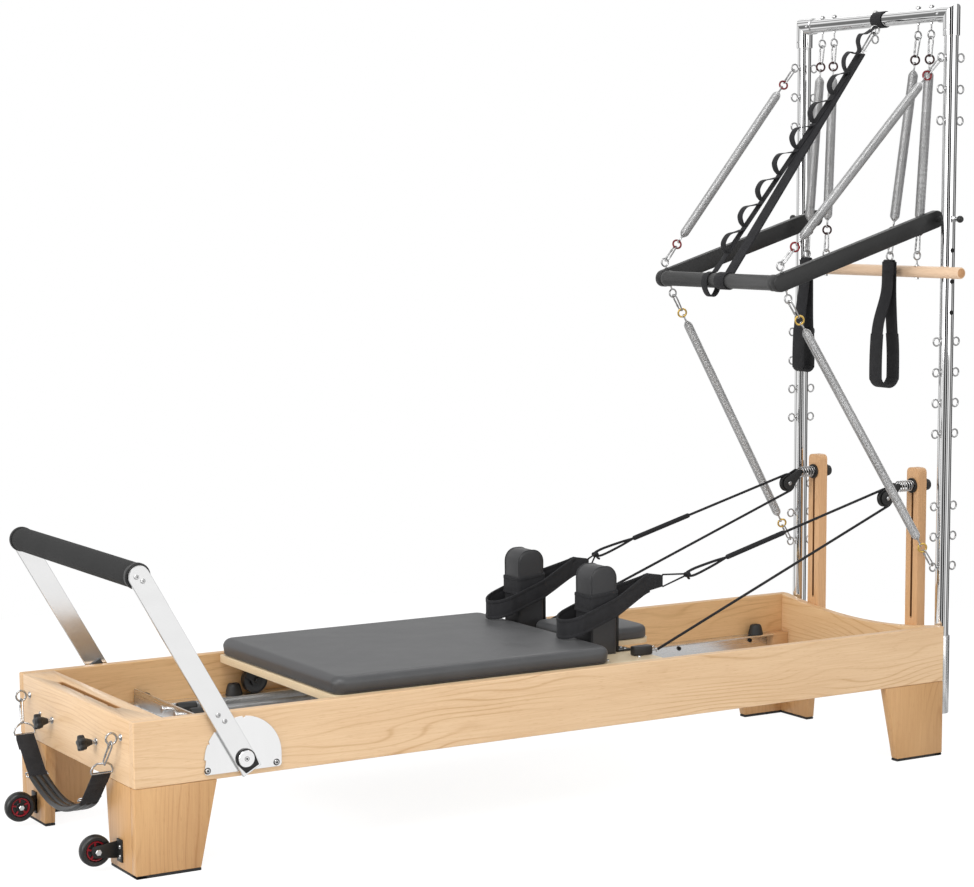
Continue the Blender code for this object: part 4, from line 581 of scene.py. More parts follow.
ALONG = (1, 0, 0)
ACROSS = (0, 1, 0)
UP = (0, 0, 1)
SKIN = speckle_group()
TRACK_TOP = 0.247
TRACK_WIDTH = 0.04
TRACK_DROP = 0.042
TRACK_WALL = 0.005
TRACK_LENGTH = 2.14
TRACK_MIDDLE = 1.17
ROLLER_LINE = 0.309
aluminium = skin("drawn_aluminium", 0.74, 0.86, 0.18, 0.28, 1.0, (0.02, 1.0, 1.0), 500.0)
steel = skin("stainless_fastener", 0.5, 0.68, 0.18, 0.3, 1.0)
# Black steel of real fasteners, also used for painted shade in the gaps at the quadrants and the pin holes of
# the posts.
dark_steel_and_shade = skin("black_fastener_and_shade", 0.015, 0.03, 0.3, 0.42, 0.6)
rubber_cone = skin("stopper_rubber", 0.01, 0.018, 0.55, 0.7)
spacer_maple = wood("spacer_maple", (0.62, 0.36, 0.17), (0.42, 0.22, 0.09), shift=(0.4, 0.3, 0.2))
for side, sign in NEAR_FAR:
    face = sign * (INNER - GAP)
    edge, web = face - sign * TRACK_WIDTH, face - sign * TRACK_WALL
    under, low = TRACK_TOP - TRACK_WALL, TRACK_TOP - TRACK_DROP
    outline = [(face, TRACK_TOP), (edge, TRACK_TOP), (edge, under), (web, under), (web, low), (face, low)]
    track = bmesh.new()
    slab(track, outline, TRACK_LENGTH, end_plane(TRACK_MIDDLE), 0.0008)
    piece(f"{side}_track_angle", track, aluminium, "frame", "aluminium", f"{side}_track")
    bolts = bmesh.new()
    for x in (0.16, 0.75, 1.34, 1.93, 2.18):
        screw_head(bolts, (x, web, TRACK_TOP - 0.0195), (0.0, -sign, 0.0), 0.0062)
    piece(f"{side}_track_bolts", bolts, dark_steel_and_shade, "frame", "black_metal")
    spacer = bmesh.new()
    track_end = TRACK_MIDDLE + TRACK_LENGTH / 2 + GAP
    block(spacer, (track_end, face - sign * 0.034, TRACK_TOP - 0.04),
          (LENGTH - BOARD - GAP, face, TRACK_TOP - 0.001))
    piece(f"{side}_track_spacer", spacer, spacer_maple, "frame", "riser_wood")
    cones = bmesh.new()
    for x in (0.543, 2.185):
        profile = [(0.0, 0.0), (0.021, 0.0), (0.022, 0.002), (0.0175, 0.022), (0.015, 0.028), (0.0125, 0.03),
                   (0.005, 0.03), (0.005, 0.02), (0.0, 0.02)]
        lathe(cones, profile, (x, sign * ROLLER_LINE, TRACK_TOP + 0.0001), UP, 32)
    piece(f"{side}_stoppers", cones, rubber_cone, "frame", "tyre_rubber")


# Spring bar: a stainless bar across the tracks, on folded feet, with a headed peg for
# each carriage spring and a black clamp block over each foot.

BAR_X = 0.285
PEG_Z = TRACK_TOP + 0.025
SPRING_Y = (-0.12, -0.04, 0.04, 0.12)
stainless = skin("brushed_stainless", 0.7, 0.8, 0.2, 0.34, 1.0, (1.0, 0.02, 1.0), 420.0)
moulded = skin("moulded_black", 0.01, 0.02, 0.34, 0.48, scale=900.0)
bar = bmesh.new()
reach = INNER - 0.0056
block(bar, (BAR_X - 0.003, -reach, TRACK_TOP + GAP), (BAR_X + 0.003, reach, TRACK_TOP + GAP + 0.04), 0.001)
for y in (-reach, reach):
    inward = -math.copysign(0.032, y)
    block(bar, (BAR_X - 0.03, y, TRACK_TOP + GAP), (BAR_X + 0.03, y + inward, TRACK_TOP + GAP + 0.006), 0.001)
for y in SPRING_Y:
    profile = [(0.0, 0.0), (0.0085, 0.0), (0.01, 0.0015), (0.01, 0.003), (0.006, 0.004), (0.006, 0.018),
               (0.0, 0.018)]
    lathe(bar, profile, (BAR_X - 0.018, y, PEG_Z), ALONG, 24)
piece("spring_bar_dressed", bar, stainless, "frame", "stainless", "spring_bar")
clamps = bmesh.new()
for sign in (-1.0, 1.0):
    block(clamps, (0.292, sign * 0.3, TRACK_TOP + 0.0065), (0.316, sign * 0.326, TRACK_TOP + 0.03), 0.005, 3)
    block(clamps, (0.102, sign * 0.296, TRACK_TOP + GAP), (0.15, sign * 0.328, TRACK_TOP + 0.016), 0.007, 3)
piece("spring_bar_clamps", clamps, moulded, "frame", "black_plastic")


# Quadrant plates: half-round stainless plates screwed on the side boards, with edge
# notches for the foot bar's catch and a capped pivot.

PIVOT = (0.2602, 0.247)
PLATE_RADIUS = 0.095
PLATE_DROP = 0.031
PLATE_WALL = 0.004
PLATE_CORNER = 0.008
CATCH_ANGLES = (88.0, 119.0, 134.0, 154.0, 179.0)
CATCH_HALF = 1.2
CATCH_DEPTH = 0.0036
PLATE_SCREWS = ((0.173, 0.226), (0.342, 0.226))


def at_pivot(y):
    """Point on the line of the foot bar's pivots."""
    return (PIVOT[0], y, PIVOT[1])


plate_steel = skin("plate_stainless", 0.88, 0.94, 0.13, 0.2, 1.0, (1.0, 1.0, 0.03), 380.0, 0.00003)
for side, sign in NEAR_FAR:
    quadrant = bmesh.new()
    outline = []
    for angle in range(181):
        notched = min(abs(angle - notch) for notch in CATCH_ANGLES) <= CATCH_HALF
        outline += arc(PIVOT, PLATE_RADIUS - (CATCH_DEPTH if notched else 0.0), angle, angle, 2)[:1]
    inset, low = PLATE_RADIUS - PLATE_CORNER, PIVOT[1] - PLATE_DROP + PLATE_CORNER
    outline += arc((PIVOT[0] - inset, low), PLATE_CORNER, 180, 270, 6)
    outline += arc((PIVOT[0] + inset, low), PLATE_CORNER, 270, 360, 6)
    slab(quadrant, outline, PLATE_WALL, side_plane(sign * (HALF_WIDTH + GAP + PLATE_WALL / 2)), 0.0005)
    face = sign * (HALF_WIDTH + 0.004)
    rod(quadrant, at_pivot(face), at_pivot(face + sign * 0.003), 0.0215, sides=40)
    rod(quadrant, at_pivot(face), at_pivot(face + sign * 0.012), 0.008, sides=24)
    outer = face + sign * 0.0116
    profile = [(0.0, 0.0), (0.019, 0.0), (0.0196, 0.001), (0.0196, 0.0075), (0.0186, 0.0088), (0.006, 0.0092),
               (0.0, 0.0092)]
    lathe(quadrant, profile, at_pivot(outer), (0.0, sign, 0.0), 48)
    piece(f"{side}_quadrant", quadrant, plate_steel, "frame", "stainless", f"{side}_quadrant_plate",
          smooth=20)
    # Painted shade: a dark ring round the pivot cap, a dark ring and small dark hex at the cap's middle, and
    # dark rims round the plate screws stand for the shade in the gaps and recesses there.
    shade_marks = bmesh.new()
    shadow_ring = [(0.0197, 0.0), (0.0226, 0.0), (0.0226, 0.0042), (0.022, 0.0048), (0.0197, 0.0048),
                   (0.0197, 0.0)]
    lathe(shade_marks, shadow_ring, at_pivot(outer), (0.0, sign, 0.0), 48)
    lathe(shade_marks, [(0.0046, 0.0), (0.0056, 0.0), (0.0056, 0.0006), (0.0046, 0.0006), (0.0046, 0.0)],
          at_pivot(outer + sign * 0.0091), (0.0, sign, 0.0), 28)
    nut(shade_marks, at_pivot(outer + sign * 0.0088), at_pivot(outer + sign * 0.0098), 0.0026, 0.0)
    for x, z in PLATE_SCREWS:
        rim = [(0.006, 0.0), (0.0078, 0.0), (0.0078, 0.0005), (0.006, 0.0005), (0.006, 0.0)]
        lathe(shade_marks, rim, (x, face, z), (0.0, sign, 0.0), 28)
    piece(f"{side}_quadrant_shade_marks", shade_marks, dark_steel_and_shade, "frame", "black_metal")
    screws = bmesh.new()
    for x, z in PLATE_SCREWS:
        screw_head(screws, (x, face, z), (0.0, sign, 0.0), 0.006)
    piece(f"{side}_quadrant_screws", screws, steel, "frame", "stainless")


# Foot bar: two flat stainless arms on the pivots, their catches, and a steel tube between
# them in a thick foam sleeve with black end collars.

ARM_ANGLE = 119.3
ARM_TURN = math.radians(ARM_ANGLE)
ARM_HALF = 0.025
ARM_WALL = 0.008
GRIP_AT = 0.4955


def up_arm(distance, offset=0.0):
    """Point in the side plane at a distance up the foot bar's arm."""
    return (PIVOT[0] + distance * math.cos(ARM_TURN) - offset * math.sin(ARM_TURN),
            PIVOT[1] + distance * math.sin(ARM_TURN) + offset * math.cos(ARM_TURN))


arm_steel = skin("arm_stainless", 0.84, 0.92, 0.13, 0.2, 1.0, (0.03, 1.0, 0.05), 420.0, 0.00003)
bar_x, bar_z = up_arm(GRIP_AT)
arms = bmesh.new()
catches = bmesh.new()
fasteners = bmesh.new()
inner = HALF_WIDTH + 0.0073
for side, sign in NEAR_FAR:
    outline = [up_arm(-0.036, -ARM_HALF), up_arm(-0.036, ARM_HALF)]
    outline += arc((bar_x, bar_z), ARM_HALF, ARM_ANGLE + 90, ARM_ANGLE - 90, 25)
    arm_middle = sign * (inner + ARM_WALL / 2)
    slab(arms, outline, ARM_WALL, side_plane(arm_middle), 0.0012)
    rod(arms, (bar_x, 0.0, bar_z), (bar_x, arm_middle, bar_z), 0.0125, sides=28)
    outline = [up_arm(0.0956, -0.014), up_arm(0.129, -0.014), up_arm(0.129, 0.014), up_arm(0.0956, 0.014)]
    slab(catches, outline, 0.007, side_plane(sign * (inner - 0.0032)), 0.0008)
    outer = sign * (inner + ARM_WALL)
    for distance, offset in ((0.499, 0.006), (0.483, -0.002), (0.123, 0.004), (0.102, -0.002)):
        x, z = up_arm(distance, offset)
        screw_head(fasteners, (x, outer, z), (0.0, sign, 0.0), 0.0058)
    slab(catches, [up_arm(-0.031, -0.02), up_arm(0.0, -0.024), up_arm(0.02, 0.0), up_arm(0.0, 0.024),
                   up_arm(-0.031, 0.016)], 0.0028, side_plane(sign * (inner + 0.0096)), 0.0006)
piece("foot_bar_arms", arms, arm_steel, "foot_bar", "stainless", "foot_bar", smooth=20)
piece("foot_bar_catches", catches, moulded, "foot_bar", "black_plastic")
piece("foot_bar_screws", fasteners, steel, "foot_bar", "stainless")

foam = skin("foot_bar_foam", 0.012, 0.02, 0.62, 0.78, scale=1400.0, depth=0.00025, specular=0.35)
half = inner - 0.0006
sleeve = bmesh.new()
inset = 0.0128
profile = [(inset, -half + 0.004), (0.0262, -half + 0.004), (0.028, -half + 0.012), (0.0285, -half + 0.04),
           (0.0287, -0.12)]
lathe(sleeve, two_sided(profile), (bar_x, 0.0, bar_z), ACROSS, 48)
piece("foot_bar_sleeve", sleeve, foam, "foot_bar", "foam", "foot_bar_pad")
collars = bmesh.new()
for sign in (-1.0, 1.0):
    profile = [(inset, 0.0), (0.029, 0.0), (0.03, 0.001), (0.03, 0.009), (0.0292, 0.0102), (0.027, 0.0102),
               (0.0262, 0.005), (inset, 0.005), (inset, 0.0)]
    lathe(collars, profile, (bar_x, sign * half, bar_z), (0.0, -sign, 0.0), 48)
piece("foot_bar_collars", collars, moulded, "foot_bar", "black_plastic")


# Transport wheels: a rubber tyre on a red core, on a bolt through a black folded bracket
# that two bolts hold to the foot legs.

WHEEL_AT = (-0.05, 0.2433, 0.0493)
SPOKES = 5
coated = skin("coated_black_steel", 0.012, 0.022, 0.38, 0.5, 0.2, scale=800.0)
tyre = skin("tyre_black", 0.008, 0.016, 0.3, 0.42, scale=500.0, depth=0.0002)
red_core = skin("red_core", (0.22, 0.006, 0.014), (0.32, 0.01, 0.02), 0.26, 0.38, scale=500.0)
for side, sign in NEAR_FAR:
    x, y, z = WHEEL_AT[0], sign * WHEEL_AT[1], WHEEL_AT[2]
    cheek = y + sign * 0.017
    bracket = bmesh.new()
    outline = [(-GAP, z - 0.02), (-GAP, z + 0.02), *arc((x, z), 0.014, 90, 270, 14)]
    slab(bracket, outline, 0.004, side_plane(cheek), 0.0006)
    block(bracket, (-0.0043, cheek - sign * 0.002, z - 0.026),
          (-GAP, cheek + sign * 0.026, z + 0.026), 0.0008)
    piece(f"{side}_bracket", bracket, coated, "frame", "black_metal", f"{side}_wheel_bracket")
    bolts = bmesh.new()
    rod(bolts, (x, cheek + sign * 0.007, z), (x, y - sign * 0.016, z), 0.004, sides=20)
    nut(bolts, (x, cheek + sign * 0.002, z), (x, cheek + sign * 0.0085, z), 0.0075)
    nut(bolts, (x, y - sign * 0.013, z), (x, y - sign * 0.018, z), 0.007)
    for height in (0.058, 0.036):
        screw_head(bolts, (-0.0043, cheek + sign * 0.017, height), (-1.0, 0.0, 0.0), 0.005)
    piece(f"{side}_wheel_bolts", bolts, steel, "frame", "stainless")
    wheel = bmesh.new()
    profile = [(0.0232, -0.0085), (0.025, -0.011), (0.031, -0.012), (0.0345, -0.0095), (0.036, -0.005)]
    lathe(wheel, two_sided(profile), (x, y, z), ACROSS, 48)
    piece(f"{side}_tyre", wheel, tyre, f"{side}_transport_wheel", "tyre_rubber", f"{side}_transport_wheel")
    core = bmesh.new()
    profile = [(0.0192, -0.007), (0.02, -0.009), (0.0222, -0.0094), (0.0228, -0.0086)]
    lathe(core, two_sided(profile), (x, y, z), ACROSS, 48)
    for spoke in range(SPOKES):
        turn = 2 * math.pi * (spoke + 0.3) / SPOKES
        out = Vector((math.cos(turn), 0.0, math.sin(turn)))
        centre = Vector((x, y, z))
        for way in (-1, 1):
            layer = centre + Vector((0, way * 0.0058, 0))
            rod(core, layer + out * 0.0105, layer + out * 0.0198, 0.0022, 0.0028, sides=8, edge=0.0004)
    piece(f"{side}_wheel_core", core, red_core, f"{side}_transport_wheel", "tyre_rubber")
    hub = bmesh.new()
    profile = [(0.0043, -0.0088), (0.01, -0.0092), (0.0112, -0.008), (0.0112, -0.0044), (0.0191, -0.004)]
    lathe(hub, two_sided(profile), (x, y, z), ACROSS, 40)
    piece(f"{side}_wheel_hub", hub, moulded, f"{side}_transport_wheel", "tyre_rubber")


# Star knobs: black five-lobed hand knobs on steel studs through the foot beam into its
# slot. Outside each knob a small screw head shows in the beam.

KNOB = (0.14, 0.273)
KNOB_RADIUS = 0.019
LOBES = 5
BEAM_SCREW = (0.218, 0.276)
for side, sign in NEAR_FAR:
    y, z = sign * KNOB[0], KNOB[1]
    outline = []
    for step in range(60):
        turn = 2 * math.pi * step / 60
        radius = KNOB_RADIUS * (0.86 + 0.14 * math.cos(LOBES * turn))
        outline.append((y + radius * math.cos(turn), z + radius * math.sin(turn)))
    knob = bmesh.new()
    slab(knob, outline, 0.016, end_plane(-0.035), 0.0035, 3)
    boss = [(0.0, 0.0), (0.0115, 0.0), (0.01, 0.006), (0.0075, 0.0125), (0.007, 0.0145), (0.0, 0.0145)]
    lathe(knob, boss, (-0.0275, y, z), ALONG, 28)
    lathe(knob, [(0.0, 0.0), (0.0065, 0.0), (0.0075, -0.0012), (0.0, -0.0016)], (-0.0428, y, z), ALONG, 24)
    piece(f"{side}_knob", knob, moulded, f"{side}_star_knob", "black_plastic", f"{side}_star_knob")
    stud = bmesh.new()
    rod(stud, (-0.027, y, z), (0.029, y, z), 0.004, sides=20)
    rod(stud, (-0.012, y, z), (-0.0098, y, z), 0.0064, sides=24, edge=0.0006)
    thread_turn = [(0.0039, 0.0), (0.0045, 0.0008), (0.0039, 0.0016)]
    for turn in range(4):
        lathe(stud, thread_turn, (-0.0092 + turn * 0.0018, y, z), ALONG, 18)
    piece(f"{side}_knob_stud", stud, steel, f"{side}_star_knob", "stainless")
    collar = bmesh.new()
    lathe(collar, [(0.0056, 0.0), (0.0085, 0.0), (0.008, -0.0018), (0.0058, -0.0022), (0.0056, 0.0)],
          (-GAP, y, z), ALONG, 28)
    piece(f"{side}_knob_collar", collar, steel, "frame", "stainless")
beam_screws = bmesh.new()
for way in (1, -1):
    screw_head(beam_screws, (-0.0002, way * BEAM_SCREW[0], BEAM_SCREW[1]), (-1, 0, 0), 0.0055)
piece("beam_screws", beam_screws, steel, "frame", "stainless")


# Foot strap: a sling of black webbing, doubled over a padded middle, hung on D-rings and
# snap hooks from two steel eyebolts in the foot beam.

EYE = (-0.022, 0.288, 0.309)
EYE_RADIUS = 0.0108
EYE_WIRE = 0.0023


def wire(bm, points, radius, sides=8, closed=False):
    """Add round wire along a line of points."""
    curve = bpy.data.curves.new("wire", "CURVE")
    curve.dimensions = "3D"
    curve.bevel_depth = radius
    curve.bevel_resolution = sides // 2 - 2
    curve.use_fill_caps = True
    spline = curve.splines.new("POLY")
    spline.points.add(len(points) - 1)
    for slot, point in zip(spline.points, points):
        slot.co = (*point, 1.0)
    spline.use_cyclic_u = closed
    holder = bpy.data.objects.new("wire", curve)
    mesh = bpy.data.meshes.new_from_object(holder)
    part = bmesh.new()
    part.from_mesh(mesh)
    bmesh.ops.remove_doubles(part, verts=part.verts, dist=0.00001)
    bpy.data.objects.remove(holder)
    bpy.data.curves.remove(curve)
    bpy.data.meshes.remove(mesh)
    join(bm, part)


def ring(bm, centre, radius, thick, across=ACROSS, sides=32):
    """Add a ring of round wire whose hole looks along across."""
    lathe(bm, arc((radius, 0.0), thick, 0, 360, 11), centre, across, sides)


def eased(points, steps=6):
    """Points of a smooth line through the given points."""
    points = [Vector(point) for point in points]
    ends = [points[0] * 2 - points[1], *points, points[-1] * 2 - points[-2]]
    line = []
    for a, b, c, d in zip(ends, ends[1:], ends[2:], ends[3:]):
        for step in range(steps):
            t = step / steps
            line.append(0.5 * (2 * b + (c - a) * t + (2 * a - 5 * b + 4 * c - d) * t ** 2
                               + (3 * b - a - 3 * c + d) * t ** 3))
    return line + [points[-1]]


def snap_hook(bm, seat, end, across=ACROSS):
    """Add a snap hook: a long bow of wire with a sprung gate and a small stop ball."""
    seat, end, across = Vector(seat), Vector(end), Vector(across)
    down = (end - seat).normalized()
    across = (across - down * across.dot(down)).normalized()
    length = (end - seat).length
    half = 0.0085
    bow = [(-0.55, length), (-0.75, length - 0.004),
           (-1.0, 0.018), (-1.0, 0.009), (-0.72, 0.003), (-0.3, 0.0003)]
    bow += [(-u, v) for u, v in reversed(bow)] + [(0.0, length + 0.0004)]
    line = [seat + across * (u * half) + down * v for u, v in bow]
    wire(bm, eased(line + line[:1], 3)[:-1], 0.0021, 8, closed=True)
    gate = [(0.86, 0.014), (0.6, length * 0.45), (0.8, length * 0.72)]
    gate = [seat + across * (u * half) + down * v for u, v in gate]
    wire(bm, eased(gate, 4), 0.0014, 6)
    ball = [(0.0, -0.0028), (0.002, -0.002), (0.0029, 0.0), (0.002, 0.002), (0.0, 0.0028)]
    lathe(bm, ball, gate[0], down, 12)
    lathe(bm, [(0.0, -0.004), (0.0028, -0.004), (0.0028, 0.004), (0.0, 0.004)], gate[2], down, 12)


def eyebolt(bm, eye, toward, length, radius=EYE_RADIUS, thick=EYE_WIRE):
    """Add an eyebolt: a ring, a shank, and a collar nut at its foot."""
    eye, toward = Vector(eye), Vector(toward).normalized()
    across = Vector(ACROSS) if abs(toward.y) < 0.5 else Vector(ALONG)
    ring(bm, eye, radius, thick, across, 28)
    foot = eye + toward * (radius + length)
    rod(bm, eye + toward * radius, foot, thick, sides=14)
    nut(bm, foot - toward * 0.004, foot - toward * 0.0002, thick * 2.0, 0.0005)


def weave_group():
    """Ribbed webbing: fine ribs across, a twill slant, and soft wear."""
    group, start, end = shader_group(
        "webbing weave", [("Vector", "Vector", None), ("Along", "Float", 900.0), ("Across", "Float", 1500.0)],
        [("Tone", "Float"), ("Height", "Float")])
    given = start.outputs
    parts = node(group, "ShaderNodeSeparateXYZ", given["Vector"]).outputs
    slant = calc(group, "MULTIPLY", parts["X"], given["Along"])
    rows = calc(group, "SINE", calc(group, "MULTIPLY_ADD", parts["Y"], given["Across"], slant))
    weft = calc(group, "SINE", calc(group, "MULTIPLY", parts["Z"], given["Along"]))
    level = calc(group, "MULTIPLY_ADD", calc(group, "MULTIPLY", rows, weft), 0.5, 0.5)
    tone = calc(group, "MULTIPLY_ADD", noise(group, given["Vector"], 60.0, 4.0), 0.6, level)
    feed(group, end, Tone=remap(group, tone, 0.2, 1.3), Height=level)
    return group


def woven(name, dark, light, along=2600.0, across=2600.0, depth=0.0003):
    """Webbing or braid with a visible weave and a dry sheen."""
    material, tree, shader, place = surface(name)
    weave = node(tree, "ShaderNodeGroup", node_tree=WEAVE, Vector=place, Along=along, Across=across).outputs
    feed(tree, shader, Base_Color=blend_steps(tree, weave["Tone"], (0.1, dark), (0.9, light)),
         Roughness=remap(tree, weave["Tone"], 0.0, 1.0, 0.92, 0.76), Specular_IOR_Level=0.25,
         Sheen_Weight=0.06, Sheen_Roughness=0.4)
    relief(tree, shader, weave["Height"], depth, 0.6)
    return material


def ribbon(bm, line, across, width, wall, edge=0.0006):
    """Add a strap: a line widened across and thickened on both sides."""
    line = [Vector(point) for point in line]
    across = Vector(across).normalized()
    part = bmesh.new()
    low = [part.verts.new(point - across * width / 2) for point in line]
    edges = [part.edges.new(pair) for pair in zip(low, low[1:])]
    grown = bmesh.ops.extrude_edge_only(part, edges=edges)["geom"]
    bmesh.ops.translate(part, verts=[item for item in grown if isinstance(item, bmesh.types.BMVert)],
                        vec=across * width)
    bmesh.ops.remove_doubles(part, verts=part.verts, dist=0.00001)
    bmesh.ops.recalc_face_normals(part, faces=part.faces)
    part.normal_update()
    for vert in part.verts:
        vert.co -= vert.normal * (wall / 2)
    bmesh.ops.solidify(part, geom=part.faces[:], thickness=-wall)
    bmesh.ops.recalc_face_normals(part, faces=part.faces)
    if edge:
        rims = [seam for seam in part.edges if seam.is_manifold and seam.calc_face_angle(0.0) > 1.2]
        soften(part, rims, edge, 2)
    join(bm, part)


def stitches(bm, line, pitch=0.0045, length=0.003, thick=0.00045):
    """Add a row of thread stitches along a line that lies on a surface."""
    line = [Vector(point) for point in line]
    for first, second in zip(line, line[1:]):
        span = (second - first).length
        heading = (second - first) / span
        for index in range(int(span / pitch)):
            middle = first + heading * (index * pitch + 0.0006 + length / 2)
            bmesh.ops.create_cone(bm, cap_ends=True, segments=6, radius1=thick, radius2=thick, depth=length,
                                  matrix=Matrix.Translation(middle) @ facing(heading))


WEAVE = weave_group()
webbing = woven("black_webbing", (0.01, 0.01, 0.011), (0.034, 0.034, 0.037))
thread = skin("seam_thread", 0.02, 0.035, 0.7, 0.85, scale=900.0)
eye_steel = skin("eyebolt_steel", 0.4, 0.56, 0.14, 0.24, 1.0)
for side, sign in NEAR_FAR:
    eyes = bmesh.new()
    eyebolt(eyes, (EYE[0], sign * EYE[1], EYE[2]), ALONG, 0.0095, 0.0125, 0.0026)
    lathe(eyes, [(0.0, 0.0), (0.0085, 0.0), (0.008, -0.0014), (0.0, -0.0014)],
          (-0.0001, sign * EYE[1], EYE[2]), ALONG, 24)
    piece(f"{side}_strap_eye", eyes, eye_steel, "frame", "stainless")

strap_x = EYE[0] - 0.008
half_run = [(0.247, EYE[2] - 0.085), (0.209, EYE[2] - 0.124), (0.17, EYE[2] - 0.163),
            (0.152, EYE[2] - 0.1745), (0.11, EYE[2] - 0.19), (0.06, EYE[2] - 0.203), (0.02, EYE[2] - 0.208)]
run = [(strap_x, -y, z) for y, z in half_run] + [(strap_x, y, z) for y, z in reversed(half_run)]
smooth_run = eased(run, 6)
sling = bmesh.new()
ribbon(sling, smooth_run, ALONG, 0.0445, 0.003, 0.0008)
piece("foot_strap_sling", sling, webbing, "foot_strap", "webbing", "foot_strap")
middle = smooth_run[15:-15]
cover = bmesh.new()
part = bmesh.new()
loops = []
for index, point in enumerate(middle):
    share = index / (len(middle) - 1)
    heading = (middle[min(index + 1, len(middle) - 1)] - middle[max(index - 1, 0)]).normalized()
    up = Vector(ALONG).cross(heading)
    fat = 0.0026 + 0.0042 * min(1.0, 7 * share, 7 * (1 - share)) ** 0.6
    oval = bmesh.ops.create_circle(part, segments=48, radius=1.0)["verts"]
    for vert in oval:
        round_turn = math.atan2(vert.co.y, vert.co.x)
        u = math.cos(round_turn)
        wide = math.asin(u) / QUARTER
        ribs = 0.28 + 0.72 * abs(math.cos(1.5 * math.pi * wide)) ** 0.55
        lobes = ribs * min(1.0, 6 * (1 - abs(wide)) + 0.1)
        vert.co = point + Vector(ALONG) * (0.024 * wide) + up * (fat * lobes * (1 if vert.co.y >= 0 else -1))
    loops.append({edge for vert in oval for edge in vert.link_edges})
for first, second in zip(loops, loops[1:]):
    bmesh.ops.bridge_loops(part, edges=list(first | second))
bmesh.ops.holes_fill(part, edges=[edge for edge in part.edges if edge.is_boundary], sides=48)
join(cover, part)
strap_vinyl = skin("strap_pad_vinyl", 0.01, 0.018, 0.26, 0.36, scale=700.0)
piece("foot_strap_pad", cover, strap_vinyl, "foot_strap", "webbing", smooth=70)
rings = bmesh.new()
tack = bmesh.new()
for side, sign in NEAR_FAR:
    end = Vector((strap_x, sign * half_run[0][0], half_run[0][1]))
    top = Vector((strap_x, sign * (EYE[1] - 0.027), EYE[2] - 0.059))
    half_ring = [(0.0245, 0.0, 0.0), (0.026, 0.001, 0.008), (0.0215, 0.003, 0.017), (0.012, 0.004, 0.0235)]
    corners = [end + Vector((-u, sign * v, w)) for u, v, w in half_ring]
    corners += [top + Vector((-0.003, 0, -0.0008)), top + Vector((0.003, 0, -0.0008))]
    corners += [end + Vector((u, sign * v, w)) for u, v, w in reversed(half_ring)]
    wire(rings, corners, EYE_WIRE, 8, closed=True)
    seat = Vector((EYE[0], sign * (EYE[1] + 0.002), EYE[2] - 0.0078))
    snap_hook(rings, seat, top + Vector((0, 0, -0.001)), ACROSS)
    lap = [end + Vector((0, sign * 0.0012, 0.0025)), end + Vector((0, -sign * 0.004, -0.01)),
           end + Vector((0, -sign * 0.022, -0.03))]
    heading = (lap[2] - lap[1]).normalized()
    face = Vector(ALONG).cross(heading) * 0.003
    sling_lap = bmesh.new()
    ribbon(sling_lap, [lap[0] + face * 0.2, lap[1] + face, lap[2] + face], ALONG, 0.0435, 0.0022, 0.0005)
    piece(f"{side}_strap_lap", sling_lap, webbing, "foot_strap", "webbing")
    for along in (0.2, 0.85):
        spot = lap[1].lerp(lap[2], along) + face * 1.42
        stitches(tack, [spot - Vector((0.019, 0, 0)), spot + Vector((0.019, 0, 0))])
for side, sign in NEAR_FAR:
    bend = Vector((strap_x, sign * half_run[2][0], half_run[2][1]))
    heading = (Vector((strap_x, sign * half_run[3][0], half_run[3][1])) - bend).normalized()
    face = Vector(ALONG).cross(heading) * 0.0052
    slider = [(-0.0258, -0.006), (0.0258, -0.006), (0.0258, 0.008), (-0.0258, 0.008)]
    slider = [bend + face + Vector((u, 0, 0)) + heading * v for u, v in slider]
    for first, second in zip(slider, slider[1:] + slider[:1]):
        rod(rings, first, second, 0.0017, sides=10)
piece("foot_strap_rings", rings, eye_steel, "foot_strap", "stainless", smooth=60)
piece("foot_strap_stitches", tack, thread, "foot_strap", "webbing")


# Risers: two slotted oak-coloured uprights screwed to the back of the tower board, in
# which the pulley blocks slide up and down. Dark sheets on the walls of the slots are
# painted shade.

RISER_Y = 0.2195
RISER_DEPTH = 0.028
SLOT_TOP = 0.734
riser_front = LENGTH + GAP
slot_shade_oak = wood("riser_slot_shade_oak", (0.21, 0.092, 0.034), (0.12, 0.05, 0.018), (0.0, QUARTER, 0.0),
                (0.3, 0.2, 0.1), 0.3)
for side, sign in NEAR_FAR:
    oak = wood(f"{side}_riser_oak", (0.74, 0.44, 0.222), (0.5, 0.25, 0.1), (0.0, QUARTER, 0.0),
               (0.2 * sign, 0.35, 0.4), 0.4, 75.0)
    dress(f"{side}_riser", oak)
    screws = bmesh.new()
    for z in (0.232, 0.3):
        screw_head(screws, (riser_front + RISER_DEPTH, sign * RISER_Y, z), ALONG, 0.0065)
    piece(f"{side}_riser_screws", screws, steel, "frame", "stainless")
    # Painted shade: thin dark oak sheets along both walls of the slot stand for the shade inside it.
    slot_shade_walls = bmesh.new()
    for way in (-1, 1):
        wall = sign * RISER_Y + way * 0.00418
        block(slot_shade_walls, (riser_front + 0.0006, wall - 0.0001, RAIL_TOP + 0.007),
              (riser_front + RISER_DEPTH - 0.0006, wall + 0.0001, SLOT_TOP))
    piece(f"{side}_riser_slot_shade_walls", slot_shade_walls, slot_shade_oak, "frame", "riser_wood")


# Tower posts: chromed steel tubes in welded sockets on the tower board, each with ten
# double eyebolts and a column of holes for the push bar's pins.

